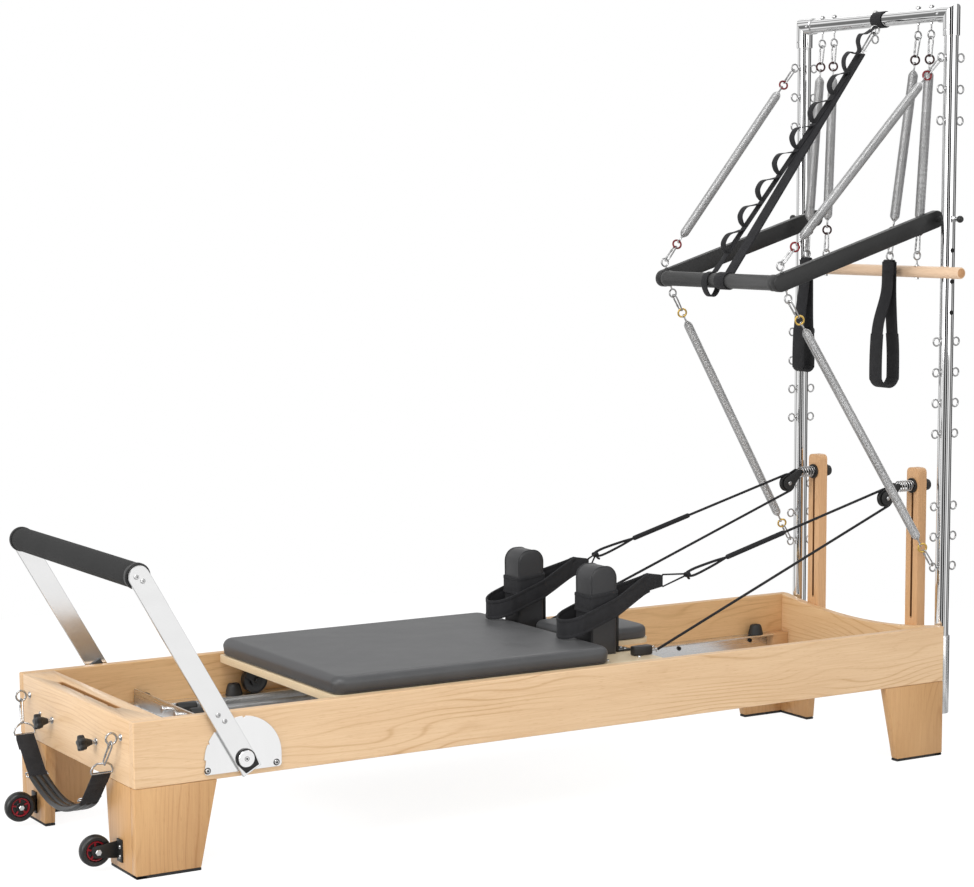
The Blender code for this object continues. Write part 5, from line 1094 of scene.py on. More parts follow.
POST_X = LENGTH + 0.0265
POST_Y = 0.318
POST_RADIUS = 0.019
POST_FOOT = 0.1085
POST_EYES = (1.8685, 1.786, 1.7035, 1.119, 1.0365, 0.954, 0.8715, 0.6755, 0.593, 0.5105)
TOP_Z = 1.984
PIN_Z = 1.4445
PIN_PITCH = 0.0825
SOCKET_TOP = 0.322
SOCKET_RADIUS = 0.0225
SOCKET_BORE = 0.0192
chrome = skin("polished_chrome", 0.8, 0.86, 0.03, 0.055, 1.0, (1.0, 1.0, 0.05), 120.0, 0.0)
socket_steel = skin("socket_stainless", 0.74, 0.82, 0.2, 0.32, 1.0, (1.0, 1.0, 0.05), 300.0)
for side, sign in NEAR_FAR:
    y = sign * POST_Y
    post = bmesh.new()
    post_top = TOP_Z - 0.0245
    profile = [(0.0, POST_FOOT), (POST_RADIUS, POST_FOOT), (POST_RADIUS, post_top), (0.0, post_top)]
    lathe(post, profile, (POST_X, y, 0.0), UP, 48)
    piece(f"{side}_post_tube", post, chrome, "frame", "chrome", f"{side}_tower_post")
    socket = bmesh.new()
    profile = [(SOCKET_BORE, 0.108), (0.0218, 0.108), (SOCKET_RADIUS, 0.109),
               (SOCKET_RADIUS, SOCKET_TOP - 0.0015), (0.0215, SOCKET_TOP), (SOCKET_BORE, SOCKET_TOP),
               (SOCKET_BORE, 0.108)]
    lathe(socket, profile, (POST_X, y, 0.0), UP, 48)
    block(socket, (LENGTH + GAP, y - 0.036, 0.108), (LENGTH + 0.005, y + 0.036, SOCKET_TOP), 0.0012)
    for z in (0.225, 0.305):
        for way in (-1, 1):
            screw_head(socket, (LENGTH + 0.005, y + way * 0.029, z), ALONG, 0.005)
    piece(f"{side}_post_socket", socket, socket_steel, "frame", "stainless")
    eyes = bmesh.new()
    for z in POST_EYES:
        for way in (-1, 1):
            eyebolt(eyes, (POST_X + way * 0.034, y, z), (-way, 0, 0), 0.0046)
    piece(f"{side}_post_eyes", eyes, eye_steel, "frame", "stainless")
    # Painted shade: the pin holes are not cut; dark rims round them and dark discs in the three empty ones
    # stand for the shade in the holes.
    holes = bmesh.new()
    for level in range(4):
        z = PIN_Z - PIN_PITCH * level
        profile = [(0.0044, 0.0), (0.0064, 0.0), (0.006, 0.0011), (0.0046, 0.0011), (0.0044, 0.0)]
        lathe(holes, profile, (POST_X, y + sign * 0.01865, z), (0, sign, 0), 24)
        if level:
            profile = [(0.0, 0.0), (0.0045, 0.0), (0.0045, 0.0004), (0.0, 0.0004)]
            lathe(holes, profile, (POST_X, y + sign * 0.0188, z), (0, sign, 0), 20)
    piece(f"{side}_pin_hole_shade", holes, dark_steel_and_shade, "frame", "black_metal")


# Top tube: a chromed tube held in an elbow over each post, with five eyebolts through
# it whose acorn nuts stand on top.

EYE_DROP = 0.051
TUBE_EYES_Y = (-0.236, -0.182, 0.0, 0.182, 0.236)
top_tube = bmesh.new()
rod(top_tube, (POST_X, -POST_Y + 0.024, TOP_Z), (POST_X, POST_Y - 0.024, TOP_Z), POST_RADIUS, sides=48)
piece("top_tube", top_tube, chrome, "frame", "chrome", "tower_top_bar")


def mitred(bm, corner, way, other, radius, bore, length):
    """Add the half of a mitred sleeve that runs from a corner one way; the other half runs the other way."""
    way, other = Vector(way), Vector(other)
    part = bmesh.new()
    profile = [(0.0, -0.03), (radius, -0.03), (radius, length - 0.001), (radius - 0.001, length),
               (bore, length), (bore, length - 0.004), (0.0, length - 0.004)]
    lathe(part, profile, corner, way, 48)
    whole = part.verts[:] + part.edges[:] + part.faces[:]
    bmesh.ops.bisect_plane(part, geom=whole, dist=0.00001, plane_co=corner,
                           plane_no=(way - other).normalized(), clear_inner=True)
    bmesh.ops.holes_fill(part, edges=[edge for edge in part.edges if edge.is_boundary], sides=200)
    join(bm, part)


for side, sign in NEAR_FAR:
    y = sign * POST_Y
    elbow = bmesh.new()
    corner = Vector((POST_X, y, TOP_Z))
    down, inward = (0, 0, -1), (0, -sign, 0)
    mitred(elbow, corner, down, inward, SOCKET_RADIUS, SOCKET_BORE, 0.059)
    mitred(elbow, corner, inward, down, SOCKET_RADIUS, SOCKET_BORE, 0.046)
    screw_head(elbow, (POST_X - 0.0218, y, TOP_Z - 0.044), (-1, 0, 0), 0.0042)
    screw_head(elbow, (POST_X - 0.0218, y - sign * 0.034, TOP_Z), (-1, 0, 0), 0.0042)
    piece(f"{side}_elbow", elbow, chrome, "frame", "chrome")
nut_steel = skin("nut_steel", 0.3, 0.42, 0.24, 0.34, 1.0)
eyes = bmesh.new()
nuts = bmesh.new()
for y in TUBE_EYES_Y:
    eyebolt(eyes, (POST_X, y, TOP_Z - EYE_DROP), UP, 0.0212)
    nut(nuts, (POST_X, y, TOP_Z + 0.0185), (POST_X, y, TOP_Z + 0.0245), 0.0072)
    acorn = [(0.0, 0.0), (0.0046, 0.0), (0.004, 0.0018), (0.002, 0.0026), (0.0, 0.0028)]
    lathe(nuts, acorn, (POST_X, y, TOP_Z + 0.0243), UP, 18)
piece("top_tube_eyes", eyes, eye_steel, "frame", "stainless")
piece("top_tube_nuts", nuts, nut_steel, "frame", "stainless")


# Pulleys: a black steel block on a clamp bolt through each riser's slot, with a hand
# knob behind, and a grooved wheel between its cheeks.

def coil_line(start, end, radius, pitch, per_turn=10, cone=4):
    """Points of a close-wound spring whose ends narrow to its axis."""
    start, end = Vector(start), Vector(end)
    axis = (end - start).normalized()
    side = axis.orthogonal().normalized()
    other = axis.cross(side)
    turns = round((end - start).length / pitch)
    count = turns * per_turn
    line = []
    for index in range(count + 1):
        share = index / per_turn
        narrow = min(1.0, 0.22 + 0.78 * math.sin(min(1.0, min(share, turns - share) / cone) * math.pi / 2))
        turn = 2 * math.pi * share
        spot = start + (end - start) * (index / count)
        line.append(spot + (side * math.cos(turn) + other * math.sin(turn)) * radius * narrow)
    return line


PULLEY = (LENGTH - 0.096, 0.695)
BOLT_Z = 0.7235


def at_wheel(y):
    """Point on the line of the pulleys' axles."""
    return (PULLEY[0], y, PULLEY[1])


wheel_black = skin("sheave_nylon", 0.012, 0.02, 0.3, 0.42, scale=700.0)
for side, sign in NEAR_FAR:
    y = sign * RISER_Y
    face = riser_front
    front = face - 0.056
    head = bmesh.new()
    rod(head, (front, y, BOLT_Z), (face + 0.038, y, BOLT_Z), 0.004, sides=20)
    rod(head, (front - 0.006, y, BOLT_Z), (front + 0.006, y, BOLT_Z), 0.0075, sides=28, edge=0.001)
    washer = [(0.0042, 0.0), (0.015, 0.0), (0.0205, -0.0012), (0.0205, -0.0056), (0.0185, -0.0062),
              (0.0165, -0.003), (0.0042, -0.003), (0.0042, 0.0)]
    lathe(head, washer, (face - 0.0004, y, BOLT_Z), ALONG, 40)
    neck = (front - 0.004, BOLT_Z)
    heading = math.degrees(math.atan2(neck[1] - PULLEY[1], neck[0] - PULLEY[0]))
    outline = arc(PULLEY, 0.0195, heading + 90, heading + 270, 20)
    outline += arc(neck, 0.0095, heading - 90, heading + 90, 12)
    for way in (-1, 1):
        slab(head, outline, 0.003, side_plane(y + way * 0.0095), 0.0006)
    rod(head, (neck[0], y - 0.01, neck[1]), (neck[0], y + 0.01, neck[1]), 0.006, sides=20)
    rod(head, at_wheel(y - 0.0123), at_wheel(y + 0.0123), 0.004, sides=20)
    piece(f"{side}_pulley_head", head, coated, f"{side}_pulley", "black_metal", f"{side}_pulley_block")
    pins = bmesh.new()
    for way in (-1, 1):
        nut(pins, at_wheel(y + way * 0.011), at_wheel(y + way * 0.015), 0.0062, 0.0006)
    coil = coil_line((face - 0.004, y, BOLT_Z), (front + 0.0015, y, BOLT_Z), 0.0138, 0.0088, 20, 0.3)
    wire(pins, coil, 0.0017, 8)
    piece(f"{side}_pulley_nuts", pins, eye_steel, f"{side}_pulley", "stainless", smooth=50)
    knob = bmesh.new()
    profile = [(0.0, 0.0), (0.0102, 0.0), (0.0112, 0.0012), (0.0112, 0.006), (0.0146, 0.0105),
               (0.0152, 0.013), (0.0152, 0.0225), (0.014, 0.0255), (0.008, 0.0262), (0.0, 0.0262)]
    lathe(knob, profile, (face + 0.0283, y, BOLT_Z), ALONG, 40)
    for rib in range(12):
        turn = 2 * math.pi * rib / 12
        spot = Vector((face + 0.0415, y + 0.0149 * math.cos(turn), BOLT_Z + 0.0149 * math.sin(turn)))
        rod(knob, spot, spot + Vector((0.0085, 0, 0)), 0.0016, sides=8, edge=0.0005)
    piece(f"{side}_pulley_knob", knob, moulded, f"{side}_pulley", "black_plastic")
    sheave = bmesh.new()
    profile = [(0.0043, -0.0055), (0.01, -0.006), (0.012, -0.0042), (0.019, -0.0042), (0.0205, -0.0058),
               (0.0238, -0.0058), (0.024, -0.0052), (0.0212, -0.0022), (0.0205, 0.0)]
    lathe(sheave, two_sided(profile), at_wheel(y), ACROSS, 48)
    piece(f"{side}_sheave_wheel", sheave, wheel_black, f"{side}_sheave", "black_plastic", f"{side}_sheave")


# Carriage springs: four close-wound springs from the bar's pegs to an anchor bar hung
# under the deck. Each ends in a cone and a hooked eye. The anchor bar rides on the
# carriage; the coils are drawn at one length.

ANCHOR_X = 1.05
DECK_TOP = 0.352
DECK_LOW = 0.332
spring_steel = skin("spring_wire_steel", 0.52, 0.62, 0.36, 0.46, 1.0, scale=260.0)
dark_spring = skin("carriage_spring_steel", 0.3, 0.42, 0.34, 0.46, 1.0, scale=260.0)
coils = bmesh.new()
for y in SPRING_Y:
    wire(coils, coil_line((0.318, y, PEG_Z), (ANCHOR_X - 0.014, y, PEG_Z), 0.0105, 0.0036, 8), 0.0014, 6)
    rod(coils, (0.2885, y, PEG_Z), (0.32, y, PEG_Z), 0.0036, 0.005, sides=16)
    rod(coils, (ANCHOR_X - 0.016, y, PEG_Z), (ANCHOR_X - 0.004, y, PEG_Z), 0.0045, sides=14)
coils_piece = piece("carriage_spring_coils", coils, dark_spring, None, "spring_steel", "carriage_springs",
                    smooth=80)
bent(coils_piece)
anchor = bmesh.new()
block(anchor, (ANCHOR_X - 0.01, -0.16, PEG_Z - 0.015), (ANCHOR_X + 0.01, 0.16, PEG_Z + 0.015), 0.002)
for y in (-0.14, 0.14):
    block(anchor, (ANCHOR_X - 0.01, y - 0.012, PEG_Z + 0.01),
          (ANCHOR_X + 0.01, y + 0.012, DECK_LOW - 0.0004), 0.0012)
piece("spring_anchor", anchor, coated, "carriage", "black_metal")
sleeves = bmesh.new()
profile = [(0.004, 0.0), (0.0118, 0.002), (0.013, 0.008), (0.013, 0.046), (0.0122, 0.05), (0.0108, 0.05),
           (0.01, 0.006), (0.004, 0.0)]
for y in SPRING_Y:
    lathe(sleeves, profile, (0.306, y, PEG_Z), ALONG, 28)
piece("spring_sleeves", sleeves, moulded, "frame", "black_plastic")


# Carriage deck: varnished birch plywood with rounded edges. Under each corner is a
# folded steel bracket for a roller, and on its rear corners a black rope cleat.

def plywood(name):
    """Birch plywood: pale face veneer, and thin brown glue lines between the plies at its edges."""
    material, tree, shader, place = surface(name)
    laid = node(tree, "ShaderNodeMapping", place, None, (0.0, 0.0, QUARTER)).outputs[0]
    grain = node(tree, "ShaderNodeGroup", node_tree=GRAIN, Vector=laid, Light=(0.8, 0.655, 0.44, 1.0),
                 Dark=(0.64, 0.47, 0.28, 1.0), Figure=0.12, Spacing=30.0).outputs
    height = node(tree, "ShaderNodeSeparateXYZ", place).outputs["Z"]
    line = remap(tree, calc(tree, "FRACT", calc(tree, "MULTIPLY", height, 1.0 / PLY)), 0.86, 0.95)
    upright = node(tree, "ShaderNodeSeparateXYZ",
                   node(tree, "ShaderNodeTexCoord").outputs["Normal"]).outputs["Z"]
    edge = remap(tree, calc(tree, "ABSOLUTE", upright), 0.45, 0.6, 1.0, 0.0)
    glue = calc(tree, "MULTIPLY", calc(tree, "MULTIPLY", line, edge), 0.6)
    feed(tree, shader, Base_Color=between(tree, glue, grain["Color"], (0.36, 0.2, 0.095, 1.0)),
         Roughness=grain["Roughness"], Coat_Weight=0.15)
    relief(tree, shader, grain["Height"], 0.0001, 0.3)
    return material


def panel(low, high, corner, segments, rim):
    """Board with round corners and soft rims."""
    part = box_part(low, high)
    upright = [edge for edge in part.edges if abs((edge.verts[0].co - edge.verts[1].co).z) > 0.01]
    soften(part, upright, corner, segments)
    soften(part, [edge for edge in part.edges if edge.calc_face_angle(0.0) > 1.2], rim, 2)
    return part


DECK = (0.5125, 1.4325)
PLY = 0.00286
DECK_HALF = 0.325
ROLLERS_X = (0.6, 1.345)
ROLLER_Z = 0.2803
CLEAT_Y = 0.262
birch = plywood("birch_plywood")
deck = bmesh.new()
join(deck, panel((DECK[0], -DECK_HALF, DECK_LOW), (DECK[1], DECK_HALF, DECK_TOP), 0.006, 5, 0.0015))
piece("carriage_deck", deck, birch, "carriage", "plywood", "carriage_platform")
brackets = bmesh.new()
for x in ROLLERS_X:
    for sign in (-1.0, 1.0):
        y = sign * 0.292
        first, last = x - 0.03, x + 0.03
        outline = [(first, DECK_LOW - GAP), (first, ROLLER_Z + 0.01),
                   *arc((x, ROLLER_Z), 0.016, 180, 360, 12), (last, ROLLER_Z + 0.01), (last, DECK_LOW - GAP)]
        slab(brackets, outline, 0.0038, side_plane(y), 0.0005)
        block(brackets, (first, min(y, y - sign * 0.026), DECK_LOW - 0.004),
              (last, max(y, y - sign * 0.026), DECK_LOW - GAP), 0.0006)
        rod(brackets, (x, y - sign * 0.008, ROLLER_Z), (x, sign * 0.3195, ROLLER_Z), 0.0048, sides=20)
        nut(brackets, (x, y - sign * 0.002, ROLLER_Z), (x, y - sign * 0.0095, ROLLER_Z), 0.0085)
piece("roller_brackets", brackets, coated, "carriage", "black_metal")
cleats = bmesh.new()
hooks = bmesh.new()
for side, sign in NEAR_FAR:
    y = sign * CLEAT_Y
    outline = [(1.3785, y - 0.0105), (1.402, y - 0.0135), (1.43, y - 0.0135), (1.4355, y - 0.008),
               (1.4355, y + 0.008), (1.43, y + 0.0135), (1.402, y + 0.0135), (1.3785, y + 0.0105)]
    slab(cleats, outline, 0.0235, Matrix.Translation((0, 0, DECK_TOP + 0.0121)), 0.004, 4)
    cap = [(0.0, 0.0), (0.0095, 0.0), (0.0095, 0.003), (0.0075, 0.0045), (0.0, 0.0048)]
    lathe(cleats, cap, (1.419, y, DECK_TOP + 0.019), UP, 28)
    rod(hooks, (1.4345, y, DECK_TOP + 0.01), (1.454, y, DECK_TOP + 0.01), 0.003, sides=16)
    bail = [(1.433, y, DECK_TOP + 0.001), (1.44, y, DECK_TOP + 0.018), (1.447, y, DECK_TOP + 0.015),
            (1.453, y, DECK_TOP + 0.004)]
    wire(hooks, eased(bail, 5), 0.0017, 8)
    for x in (1.386, 1.2905):
        screw_head(hooks, (x, y + sign * 0.022, DECK_TOP + 0.0002), UP, 0.0048)
piece("rope_cleats", cleats, moulded, "carriage", "black_plastic")
piece("rope_cleat_hooks", hooks, steel, "carriage", "stainless")


# Rollers: black nylon wheels with a rounded tread and a steel bearing in the middle.

for end, x in zip(("front", "rear"), ROLLERS_X):
    for side, sign in NEAR_FAR:
        centre = (x, sign * ROLLER_LINE, ROLLER_Z)
        body = f"{side}_{end}_roller"
        wheel = bmesh.new()
        profile = [(0.015, -0.0085), (0.029, -0.0085), (0.03, -0.0108), (0.032, -0.0108), (0.033, -0.0085)]
        lathe(wheel, two_sided(profile), centre, ACROSS, 48)
        piece(f"{body}_tread", wheel, wheel_black, body, "black_plastic", body)
        bearing = bmesh.new()
        profile = [(0.0053, -0.008), (0.008, -0.008), (0.0085, -0.0072), (0.0125, -0.0072), (0.013, -0.008),
                   (0.0151, -0.008)]
        lathe(bearing, two_sided(profile), centre, ACROSS, 32)
        piece(f"{body}_bearing", bearing, steel, body, "stainless")


# Carriage pad and headrest: firm foam on boards, covered in black vinyl drawn tight over
# rounded edges, with the cover's seam just above the underside.

def vinyl(name, dark, light):
    """Coated upholstery cloth: pebbled grain, slight mottling, and softer gloss on the raised pebbles."""
    material, tree, shader, place = surface(name)
    pebble = node(tree, "ShaderNodeTexVoronoi", Vector=place, Scale=720.0, Randomness=0.9).outputs["Distance"]
    mottle = noise(tree, place, 9.0, 4.0)
    tone = calc(tree, "MULTIPLY_ADD", pebble, -0.35, mottle)
    height = calc(tree, "MULTIPLY_ADD", pebble, -0.8, noise(tree, place, 1500.0, 2.0))
    feed(tree, shader, Base_Color=blend_steps(tree, tone, (0.1, dark), (0.55, light)),
         Roughness=remap(tree, mottle, 0.3, 0.7, 0.4, 0.5), Specular_IOR_Level=0.55, Sheen_Weight=0.05)
    relief(tree, shader, height, 0.00012, 0.35)
    return material


def creased(part, spot, normal):
    """Cut a line of edges round a part, so that it can swell there."""
    whole = part.verts[:] + part.edges[:] + part.faces[:]
    bmesh.ops.bisect_plane(part, geom=whole, plane_co=spot, plane_no=normal)


def cushion(low, high, corner, rim, base, crown, bulge):
    """Stuffed pad: rounded corners and rim, a crowned top, and sides that swell and draw in below."""
    low, high = Vector(low), Vector(high)
    middle = (low + high) / 2
    part = box_part(low, high)
    upright = [edge for edge in part.edges if abs((edge.verts[0].co - edge.verts[1].co).z) > 0.005]
    soften(part, upright, corner, 8)
    for height, width, segments in ((high.z, rim, 8), (low.z, base, 3)):
        level = [edge for edge in part.edges if all(abs(vert.co.z - height) < 0.00001 for vert in edge.verts)]
        soften(part, level, width, segments)
    for axis, cuts in ((0, 18), (1, 16)):
        normal = Vector((axis == 0, axis == 1, 0))
        for step in range(1, cuts):
            spot = low.lerp(high, 0.5 - 0.5 * math.cos(math.pi * step / cuts))
            creased(part, spot, normal)
    half = (high - low) / 2
    for vert in part.verts:
        u = min(1.0, abs(vert.co.x - middle.x) / half.x)
        v = min(1.0, abs(vert.co.y - middle.y) / half.y)
        rise = (vert.co.z - low.z) / (high.z - low.z)
        vert.co.z += crown * (1 - u ** 4) * (1 - v ** 4) * rise ** 2 - crown * 0.3 * rise ** 2
        swell = bulge * math.sin(math.pi * min(1.0, rise)) - bulge * 1.1 * (1 - rise) ** 4 - bulge * 0.55
        away = Vector((vert.co.x - middle.x, vert.co.y - middle.y, 0.0))
        pull = max(u, v) ** 12
        if away.length > 0.0001:
            aside = Vector((math.copysign(u ** 12, away.x), math.copysign(v ** 12, away.y), 0.0))
            vert.co += aside * swell * pull
    return part


PAD = (0.5135, 1.2775)
pad_vinyl = vinyl("pad_vinyl", (0.052, 0.053, 0.055), (0.07, 0.071, 0.074))
rest_vinyl = vinyl("rest_vinyl", (0.019, 0.019, 0.021), (0.029, 0.029, 0.031))
mat = bmesh.new()
join(mat, cushion((PAD[0], -DECK_HALF, DECK_TOP + 0.0004), (PAD[1], DECK_HALF, DECK_TOP + 0.0445), 0.03,
                  0.019, 0.005, 0.0028, 0.0022))
pad_piece = piece("carriage_pad_cover", mat, pad_vinyl, "carriage", "vinyl", "carriage_pad", smooth=75)
seam = bmesh.new()
first, last, edge = PAD[0] + 0.031, PAD[1] - 0.031, DECK_HALF - 0.031
outline = []
for centre, start in (((last, edge), 0), ((first, edge), 90), ((first, -edge), 180), ((last, -edge), 270)):
    outline += [(u, v, DECK_TOP + 0.0068) for u, v in arc(centre, 0.0295, start, start + 90, 8)]
wire(seam, outline, 0.0007, 6, closed=True)
piece("carriage_pad_seam", seam, rest_vinyl, "carriage", "vinyl")

HEAD = (1.306, 1.536)
HEAD_HALF = 0.125
head_board = bmesh.new()
join(head_board, panel((HEAD[0], -HEAD_HALF, DECK_TOP + 0.0004), (HEAD[1], HEAD_HALF, DECK_TOP + 0.0124),
                       0.045, 12, 0.0012))
piece("headrest_board", head_board, birch, "headrest", "plywood", "headrest")
soft = bmesh.new()
low_corner = (HEAD[0] + 0.003, -HEAD_HALF + 0.003, DECK_TOP + 0.0126)
high_corner = (HEAD[1] - 0.003, HEAD_HALF - 0.003, DECK_TOP + 0.045)
join(soft, cushion(low_corner, high_corner, 0.044, 0.014, 0.004, 0.003, 0.0016))
piece("headrest_cushion", soft, pad_vinyl, "headrest", "vinyl", smooth=75)


# Shoulder rests: foam blocks with rounded heads in black vinyl, seamed along the edges
# of their side panels, each bolted to a flat steel post behind it on the deck.

REST_X = 1.325
REST_Y = 0.1775
REST_TOP = DECK_TOP + 0.226
REST_HALF = 0.038
REST_WIDTH = 0.0745
REST_CROWN = 0.032
for side, sign in NEAR_FAR:
    y = sign * REST_Y
    left, right, low = REST_X - REST_HALF, REST_X + REST_HALF, DECK_TOP + 0.0004
    shoulder = REST_TOP - REST_CROWN
    outline = [(left + 0.003, low), (right - 0.003, low), (right - 0.001, low + 0.02),
               *arc((right - REST_CROWN, shoulder), REST_CROWN, 0, 90, 10),
               *arc((left + REST_CROWN, shoulder), REST_CROWN, 90, 180, 10), (left + 0.001, low + 0.02)]
    part = bmesh.new()
    slab(part, outline, REST_WIDTH, side_plane(y), 0.006, 4)
    bmesh.ops.recalc_face_normals(part, faces=part.faces)
    for height in (0.04, 0.08, 0.12, 0.16, 0.19):
        creased(part, (0, 0, low + height), UP)
    for offset in (-0.024, -0.012, 0.0, 0.012, 0.024):
        creased(part, (REST_X + offset, 0, 0), ALONG)
    for vert in part.verts:
        across = (vert.co.y - y) / (REST_WIDTH / 2)
        u = 1 - min(1.0, abs(vert.co.x - REST_X) / REST_HALF) ** 2
        v = 1 - min(1.0, abs(vert.co.z - (low + REST_TOP) / 2) / 0.115) ** 4
        if abs(across) > 0.9:
            vert.co.y += math.copysign(0.0012 * (u * v - 0.4), across)
    foam_block = bmesh.new()
    join(foam_block, part)
    rest = piece(f"{side}_rest_block", foam_block, rest_vinyl, "carriage", "vinyl", f"{side}_shoulder_rest",
                 smooth=60)
    seams = bmesh.new()
    for way in (-1, 1):
        edge_line = [(u, y + way * 0.034, v) for u, v in outline]
        wire(seams, edge_line, 0.0015, 8, closed=True)
    piece(f"{side}_rest_seams", seams, rest_vinyl, "carriage", "vinyl")
    post = bmesh.new()
    front = right + 0.012
    block(post, (front, y - 0.02, low), (front + 0.006, y + 0.02, low + 0.11), 0.0016)
    block(post, (front + 0.001, y - 0.02, low), (front + 0.045, y + 0.02, low + 0.005), 0.0012)
    rod(post, (right - 0.006, y, low + 0.09), (front + 0.004, y, low + 0.09), 0.006, sides=20)
    nut(post, (front + 0.005, y, low + 0.09), (front + 0.0115, y, low + 0.09), 0.009, 0.001)
    piece(f"{side}_rest_post", post, coated, "carriage", "black_metal")
    bolts = bmesh.new()
    for shift in (-0.01, 0.01):
        screw_head(bolts, (front + 0.03, y + shift, low + 0.0048), UP, 0.0052)
    rod(bolts, (right - 0.001, y, low + 0.04), (front + 0.001, y, low + 0.04), 0.0035, sides=16)
    piece(f"{side}_rest_bolts", bolts, steel, "carriage", "stainless")


# Foot loops: wide webbing hung round each shoulder rest, closed by a stitched tab that
# holds the rope's cord triangle.

FRONT_X = REST_X - 0.108
TAB_X = 1.482
SLOPE = 0.36


def loop_z(x):
    """Height of the foot loops' middle line."""
    return DECK_TOP + 0.0785 + SLOPE * (x - REST_X + 0.09)


for side, sign in NEAR_FAR:
    y = sign * REST_Y
    half = 0.0495
    outline = arc((FRONT_X + half, y), half, 90, 270, 13)
    for way in (-1, 1):
        run = [(REST_X + 0.03, y + way * half), (REST_X + 0.066, y + way * 0.036),
               (TAB_X - 0.024, y + way * 0.0095), (TAB_X, y + way * 0.004)]
        outline += run[::-way]
    closed_line = outline + outline[:1]
    line = [Vector((u, v, loop_z(u))) for u, v in closed_line]
    arched = eased(line[:14], 3)[:-1] + eased(line[13:17], 5) + eased(line[17:], 5)
    loop = bmesh.new()
    ribbon(loop, arched, UP, 0.05, 0.0032, 0.0006)
    piece(f"{side}_foot_loop_band", loop, webbing, "carriage", "webbing", f"{side}_foot_loop")
    hems = bmesh.new()
    for height in (-0.0205, 0.0205):
        hem = [point + Vector((0, 0, height)) for point in arched]
        ribbon(hems, hem, UP, 0.0075, 0.0048, 0.0004)
    piece(f"{side}_foot_loop_hems", hems, webbing, "carriage", "webbing")
    tab = bmesh.new()
    tab_z = loop_z(TAB_X)
    outline = [(TAB_X - 0.012, tab_z - 0.0215), (TAB_X, tab_z - 0.0205), (TAB_X + 0.042, tab_z - 0.013),
               (TAB_X + 0.042, tab_z + 0.0175), (TAB_X, tab_z + 0.0245), (TAB_X - 0.012, tab_z + 0.0225)]
    slab(tab, outline, 0.0125, side_plane(y), 0.0016)
    piece(f"{side}_foot_loop_tab", tab, webbing, "carriage", "webbing")
    tacks = bmesh.new()
    for way in (-1, 1):
        for x in (TAB_X - 0.006, TAB_X + 0.01, TAB_X + 0.032):
            stitches(tacks, [(x, y + way * 0.0064, tab_z - 0.0145), (x, y + way * 0.0064, tab_z + 0.0165)])
    piece(f"{side}_foot_loop_stitches", tacks, thread, "carriage", "webbing")
    wrap = bmesh.new()
    turn = []
    for turn_x, turn_y, first in ((1, 1, 0), (-1, 1, 90), (-1, -1, 180), (1, -1, 270)):
        turn += arc((REST_X + turn_x * 0.0335, y + turn_y * 0.033), 0.0072, first, first + 90, 6)
    wrap_line = [Vector((u, v, DECK_TOP + 0.136 + 0.1 * (u - REST_X))) for u, v in turn + turn[:1]]
    ribbon(wrap, wrap_line, UP, 0.046, 0.003, 0.0005)
    for height in (-0.0185, 0.0185):
        ribbon(wrap, [point + Vector((0, 0, height)) for point in wrap_line], UP, 0.007, 0.0044, 0.0004)
    piece(f"{side}_foot_loop_wrap", wrap, webbing, "carriage", "webbing")


# Ropes: black braided cord from each cleat, round the pulley and back to an eye knotted
# to the foot loop's cord triangle. Past the eye the two strands run in a short sleeve.
# Each rope is drawn in three runs: from its cleat, round the wheel of the pulley, which
# slides in its slot, and on to its eye.

KNOT = (1.578, 0.2195, 0.5395)
WRAP = 0.0249
ROPE_RADIUS = 0.0035
JOIN = (1.95, 0.0, 0.55)


def braid(name, along):
    """Braided cord: crossing strands a few millimetres apart."""
    return woven(name, (0.01, 0.01, 0.011), (0.024, 0.024, 0.026), along, along, 0.00012)


def touch_angle(point, lower):
    """Angle on the sheave's groove where a line from a point ahead touches it."""
    away = Vector(point) - Vector(PULLEY)
    spread = math.acos(WRAP / away.length)
    return math.degrees(math.atan2(away.y, away.x) + (spread if lower else -spread))


def straight(first, last, steps):
    """Evenly spaced points from first to last."""
    return [first.lerp(last, k / steps) for k in range(steps + 1)]


def braided(line, radius=ROPE_RADIUS, sides=12):
    """Mesh of a round cord along a line."""
    bm = bmesh.new()
    wire(bm, line, radius, sides)
    return bm


def carriage_run(bm, name, look, *nodes):
    """Piece of rope on no body, its place baked into its mesh."""
    made = piece(name, bm, look, None, "webbing", *nodes)
    return bent(made)


